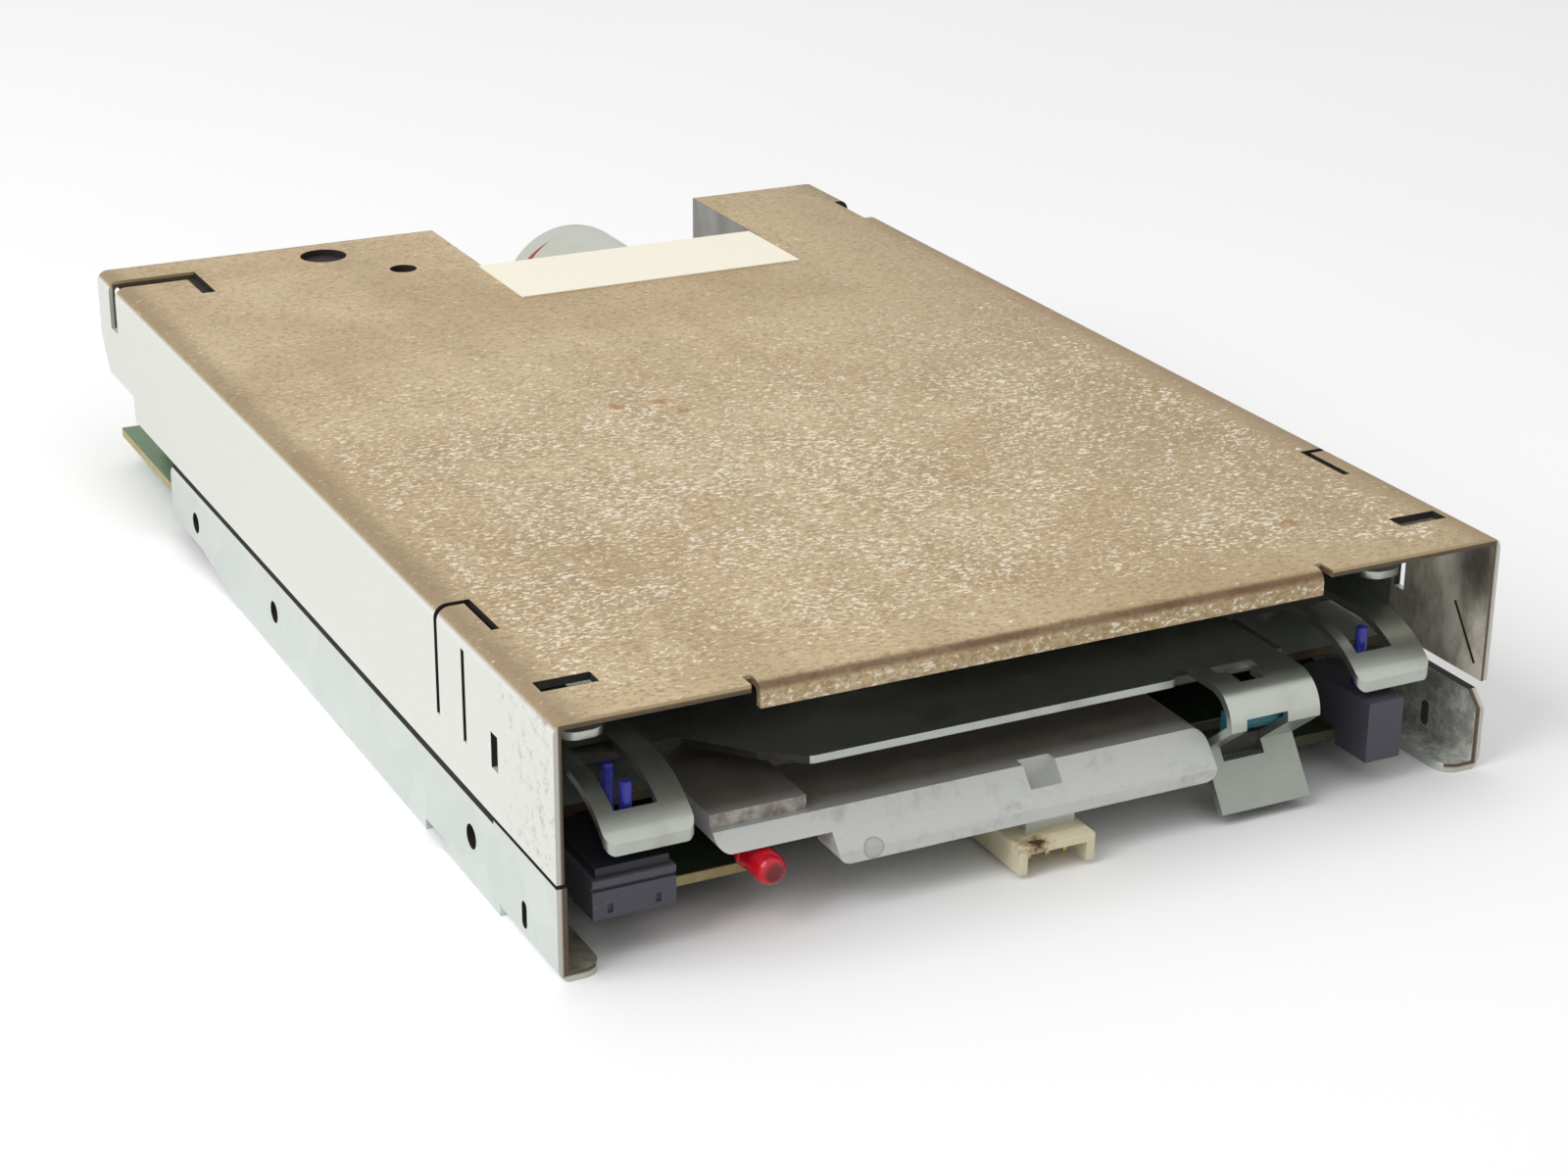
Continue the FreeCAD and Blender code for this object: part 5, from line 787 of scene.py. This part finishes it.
def stained_inside(tree, place):
    """The cover's inside: dark zinc overhead, paler down the sides as painted light over real stains, with a
    darker patch near the right front and one black scratch.
    """
    axes = add(tree, "SeparateXYZ", {"Vector": place}).outputs
    across = add(tree, "Math", {0: axes["X"]}, operation="ABSOLUTE")
    side = add(tree, "Math", {0: across, 1: SIDE_INSIDE}, operation="GREATER_THAN")
    hung = add(tree, "Mapping", {"Vector": place, "Scale": (1.0, 1.0, 0.5)})
    stain = add(tree, "TexNoise", {"Vector": hung, "Scale": per_mm(4), "Detail": 8.0, "Roughness": 0.7})
    stained = add(tree, "MapRange", {"Value": stain, "From Min": 0.38, "From Max": 0.64},
                  interpolation_type="SMOOTHSTEP")
    ceiling = add(tree, "Mix", {0: stained, 6: linear("#a09d98"), 7: linear("#8a8782")}, data_type="RGBA")
    # painted light: the inner sides are paler than the zinc outside, standing for light that reaches them
    flank = add(tree, "Mix", {0: stained, 6: linear("#f2ecde"), 7: linear("#b3ab9a")}, data_type="RGBA")
    away = add(tree, "VectorMath", {0: place, 1: DARK_PATCH}, operation="DISTANCE")
    patch = add(tree, "MapRange", {"Value": away, "From Min": mm(6.5), "From Max": mm(1),
                                   "To Max": 0.8}, interpolation_type="SMOOTHSTEP")
    patched = add(tree, "Mix", {0: patch, 6: flank, 7: linear("#3a362f")}, data_type="RGBA")
    dull = add(tree, "Mix", {0: side, 6: ceiling, 7: patched}, data_type="RGBA")
    # one straight scratch runs down the right side
    along = (SCRATCH_END - SCRATCH_START).normalized()
    aside = along.cross(Vector((1, 0, 0)))
    offset = add(tree, "VectorMath", {0: place, 1: SCRATCH_START}, operation="SUBTRACT")
    travel = add(tree, "VectorMath", {0: offset, 1: along}, operation="DOT_PRODUCT")
    drift = add(tree, "VectorMath", {0: offset, 1: aside}, operation="DOT_PRODUCT")
    width = add(tree, "Math", {0: drift}, operation="ABSOLUTE")
    thin = add(tree, "MapRange", {"Value": width, "From Min": mm(0.26), "From Max": mm(0.12)})
    begun = add(tree, "Math", {0: travel, 1: 0.0}, operation="GREATER_THAN")
    ended = add(tree, "Math", {0: travel, 1: (SCRATCH_END - SCRATCH_START).length}, operation="LESS_THAN")
    length = add(tree, "Math", {0: begun, 1: ended}, operation="MULTIPLY")
    sided = add(tree, "Math", {0: axes["X"], 1: SIDE_INSIDE}, operation="GREATER_THAN")
    there = add(tree, "Math", {0: length, 1: sided}, operation="MULTIPLY")
    scratch = add(tree, "Math", {0: there, 1: thin}, operation="MULTIPLY")
    colour = add(tree, "Mix", {0: scratch, 6: dull, 7: linear("#16130f")}, data_type="RGBA")
    gloss = add(tree, "MapRange", {"Value": stain, "To Min": 0.35, "To Max": 0.6})
    return add(tree, "BsdfPrincipled", {"Base Color": colour, "Metallic": 0.2, "Roughness": gloss})


def inside_cover(middle, way):
    """Whether a face of the cover looks into the drive."""
    under = way.z < -0.5 and middle.z > UNDERSIDE
    skirt = abs(middle.x) > LIP_HALF and abs(way.x) > 0.5 and middle.x * way.x < 0
    flange = abs(middle.x) < LIP_HALF and middle.z < COVER_INSIDE and middle.y > 0
    return under or skirt or flange or (middle.y < FRONT + mm(2) and way.y > 0.5)


def cover_cut(middle, way):
    """Whether a face of the cover is a sheared edge of its sheet, and not part of the folded lip."""
    lip = abs(middle.x) < LIP_HALF and middle.z < COVER_INSIDE
    fold = abs(middle.x) < FOLD_HALF
    ends = abs(way.y) > 0.6 and not (middle.y < COVER_FRONT and (lip or fold))
    return ends or (way.z < -0.6 and middle.z < UNDERSIDE)


def cover_slot(middle, way):
    """Whether a face of the cover is in one of its slots or holes."""
    flat = abs(way.z) < 0.5 and abs(middle.x) < SKIRT_INNER and middle.z > COVER_INSIDE
    upright = abs(way.x) < 0.5 and abs(way.z) < 0.6 and abs(middle.x) > SKIRT_INNER - mm(0.5)
    return (flat or upright) and FRONT + mm(3) < middle.y < -FRONT - mm(1)


cover = edged("top_cover", "chassis", finish("bloomed cover steel", bloomed_cover))
painted(cover, finish("stained cover inside", stained_inside), inside_cover)
painted(cover, rusted_cut, cover_cut)
# the slots and holes are black with painted shade
painted(cover, shaded_slot, cover_slot)


# Shade card: a thin black sheet just inside the rear left corner of the cover, put there as
# painted shade so that the cover's holes look dark. Cut from sheet, and seen through the cover's holes.

CARD_LOW = Vector((-0.0495, 0.0385, 0.02445))
CARD_HIGH = Vector((-0.0072, 0.0735, COVER_INSIDE))
CARD_CORNER = 0.002
UPRIGHT = 0.00005


def shade_card_finish(tree, place):
    """Black card as painted shade: brown-black and dull, with a felted grain."""
    felt = add(tree, "TexNoise", {"Vector": place, "Scale": per_mm(1.2), "Detail": 5.0})
    colour = add(tree, "Mix", {0: felt, 6: linear("#120d0b"), 7: linear("#2a1d18")}, data_type="RGBA")
    return add(tree, "BsdfPrincipled", {"Base Color": colour, "Roughness": 0.8, "IOR": 1.5})


shade_card = bmesh.new()
bmesh.ops.create_cube(shade_card, size=1)
bmesh.ops.scale(shade_card, verts=shade_card.verts, vec=CARD_HIGH - CARD_LOW)
bmesh.ops.translate(shade_card, verts=shade_card.verts, vec=(CARD_HIGH + CARD_LOW) / 2)
corners = [e for e in shade_card.edges if abs(e.verts[0].co.z - e.verts[1].co.z) > UPRIGHT]
bmesh.ops.bevel(
    shade_card, geom=corners, offset=CARD_CORNER, offset_type="OFFSET", segments=4, profile=0.5,
    affect="EDGES", material=-1,
)
carried(shade_card, "shade_sheet", "chassis", finish("black shade card", shade_card_finish))


# Paper strip: a length of cream masking paper laid across the rear of the cover.
# Creped paper with a gummed back, cut square and rubbed down.

PAPER_ROUNDING = 0.04


def masking_paper(tree, place):
    """Creped masking paper: cream, matte and finely fibred."""
    fibre = add(tree, "TexNoise", {"Vector": place, "Scale": per_mm(0.8), "Detail": 5.0})
    bump = add(tree, "Bump", {"Height": fibre, "Strength": 0.2, "Distance": mm(0.03)})
    colour = add(tree, "Mix", {0: fibre, 6: linear("#fdf5de"), 7: linear("#fffbee")}, data_type="RGBA")
    return add(tree, "BsdfPrincipled", {
        "Base Color": colour, "Roughness": 0.85, "IOR": 1.45, "Normal": bump,
    })


edged("paper_tape", "chassis", finish("masking paper", masking_paper), PAPER_ROUNDING)


# Studio: a pale floor, a white room lit from its ceiling and one soft lamp above and to the left.
# The camera stands in front and to the left, as the photograph was taken.

FLOOR_REACH = 3.0
FLOOR_LIFT = 1.18
CEILING_LIGHT = 0.9
SKYLINE_LIGHT = 0.05
LAMP_REACH = 0.7
LAMP_POWER = 5.5
LAMP_PLACE = Vector((-0.75, -0.1, 0.65))
CAMERA_PLACE = Vector((-0.13878, -0.29385, 0.13517))
CAMERA_TURN = radians(-26.634)
CAMERA_DIP = radians(22.397)
CAMERA_ROLL = radians(0.396)
LENS_MM = 69.85
SENSOR_MM = 36
NEAREST = 0.01


def pale_floor(tree, place):
    """White table: matte and even. The camera sees it a little brighter than it lights the drive."""
    cloud = add(tree, "TexNoise", {"Vector": place, "Scale": per_mm(120), "Detail": 2.0})
    even = add(tree, "MapRange", {"Value": cloud, "To Min": 0.9, "To Max": 0.93})
    seen = add(tree, "LightPath", {}).outputs
    lift = add(tree, "MapRange", {"Value": seen["Is Camera Ray"], "To Min": 1.0, "To Max": FLOOR_LIFT})
    white = add(tree, "Math", {0: even, 1: lift}, operation="MULTIPLY")
    return add(tree, "BsdfDiffuse", {"Color": white})


sheet = bmesh.new()
bmesh.ops.create_grid(sheet, x_segments=1, y_segments=1, size=FLOOR_REACH)
floor_mesh = bpy.data.meshes.new("floor")
sheet.to_mesh(floor_mesh)
sheet.free()
floor_mesh.materials.append(finish("white table", pale_floor))
floor = bpy.data.objects.new("floor", floor_mesh)
bpy.context.collection.objects.link(floor)

room = bpy.data.worlds.new("white room")
room.use_nodes = True
bpy.context.scene.world = room
sky = room.node_tree
sky.nodes.clear()
seen = add(sky, "LightPath", {}).outputs
mirrored = add(sky, "Math", {0: seen["Is Camera Ray"], 1: seen["Is Glossy Ray"]}, operation="MAXIMUM")
shown = add(sky, "Math", {0: mirrored, 1: seen["Is Transmission Ray"]}, operation="MAXIMUM")
aim = add(sky, "SeparateXYZ", {"Vector": add(sky, "TexCoord", {}).outputs["Generated"]}).outputs
ceiling = add(sky, "MapRange", {"Value": aim["Z"], "To Min": SKYLINE_LIGHT, "To Max": CEILING_LIGHT})
level = add(sky, "Mix", {0: shown, 2: ceiling, 3: 1.0})
light = add(sky, "Background", {"Color": linear("#ffffff"), "Strength": level})
add(sky, "OutputWorld", {"Surface": light.outputs["Background"]})

lamp_data = bpy.data.lights.new("soft lamp", "AREA")
lamp_data.size = LAMP_REACH
lamp_data.energy = LAMP_POWER
lamp = bpy.data.objects.new("soft lamp", lamp_data)
lamp.location = LAMP_PLACE
lamp.rotation_euler = (-LAMP_PLACE).to_track_quat("-Z", "Y").to_euler()
bpy.context.collection.objects.link(lamp)

flat = cos(CAMERA_DIP)
back = Vector((sin(CAMERA_TURN) * flat, -cos(CAMERA_TURN) * flat, sin(CAMERA_DIP)))
right = Vector((cos(CAMERA_TURN), sin(CAMERA_TURN), 0))
up = back.cross(right)
level_right = right * cos(CAMERA_ROLL) + up * sin(CAMERA_ROLL)
level_up = up * cos(CAMERA_ROLL) - right * sin(CAMERA_ROLL)
turned = Matrix((level_right, level_up, back)).transposed().to_4x4()
camera_data = bpy.data.cameras.new("camera")
camera_data.lens = LENS_MM
camera_data.sensor_width = SENSOR_MM
camera_data.clip_start = NEAREST
camera = bpy.data.objects.new("camera", camera_data)
camera.matrix_world = Matrix.Translation(CAMERA_PLACE) @ turned
bpy.context.collection.objects.link(camera)
bpy.context.scene.camera = camera
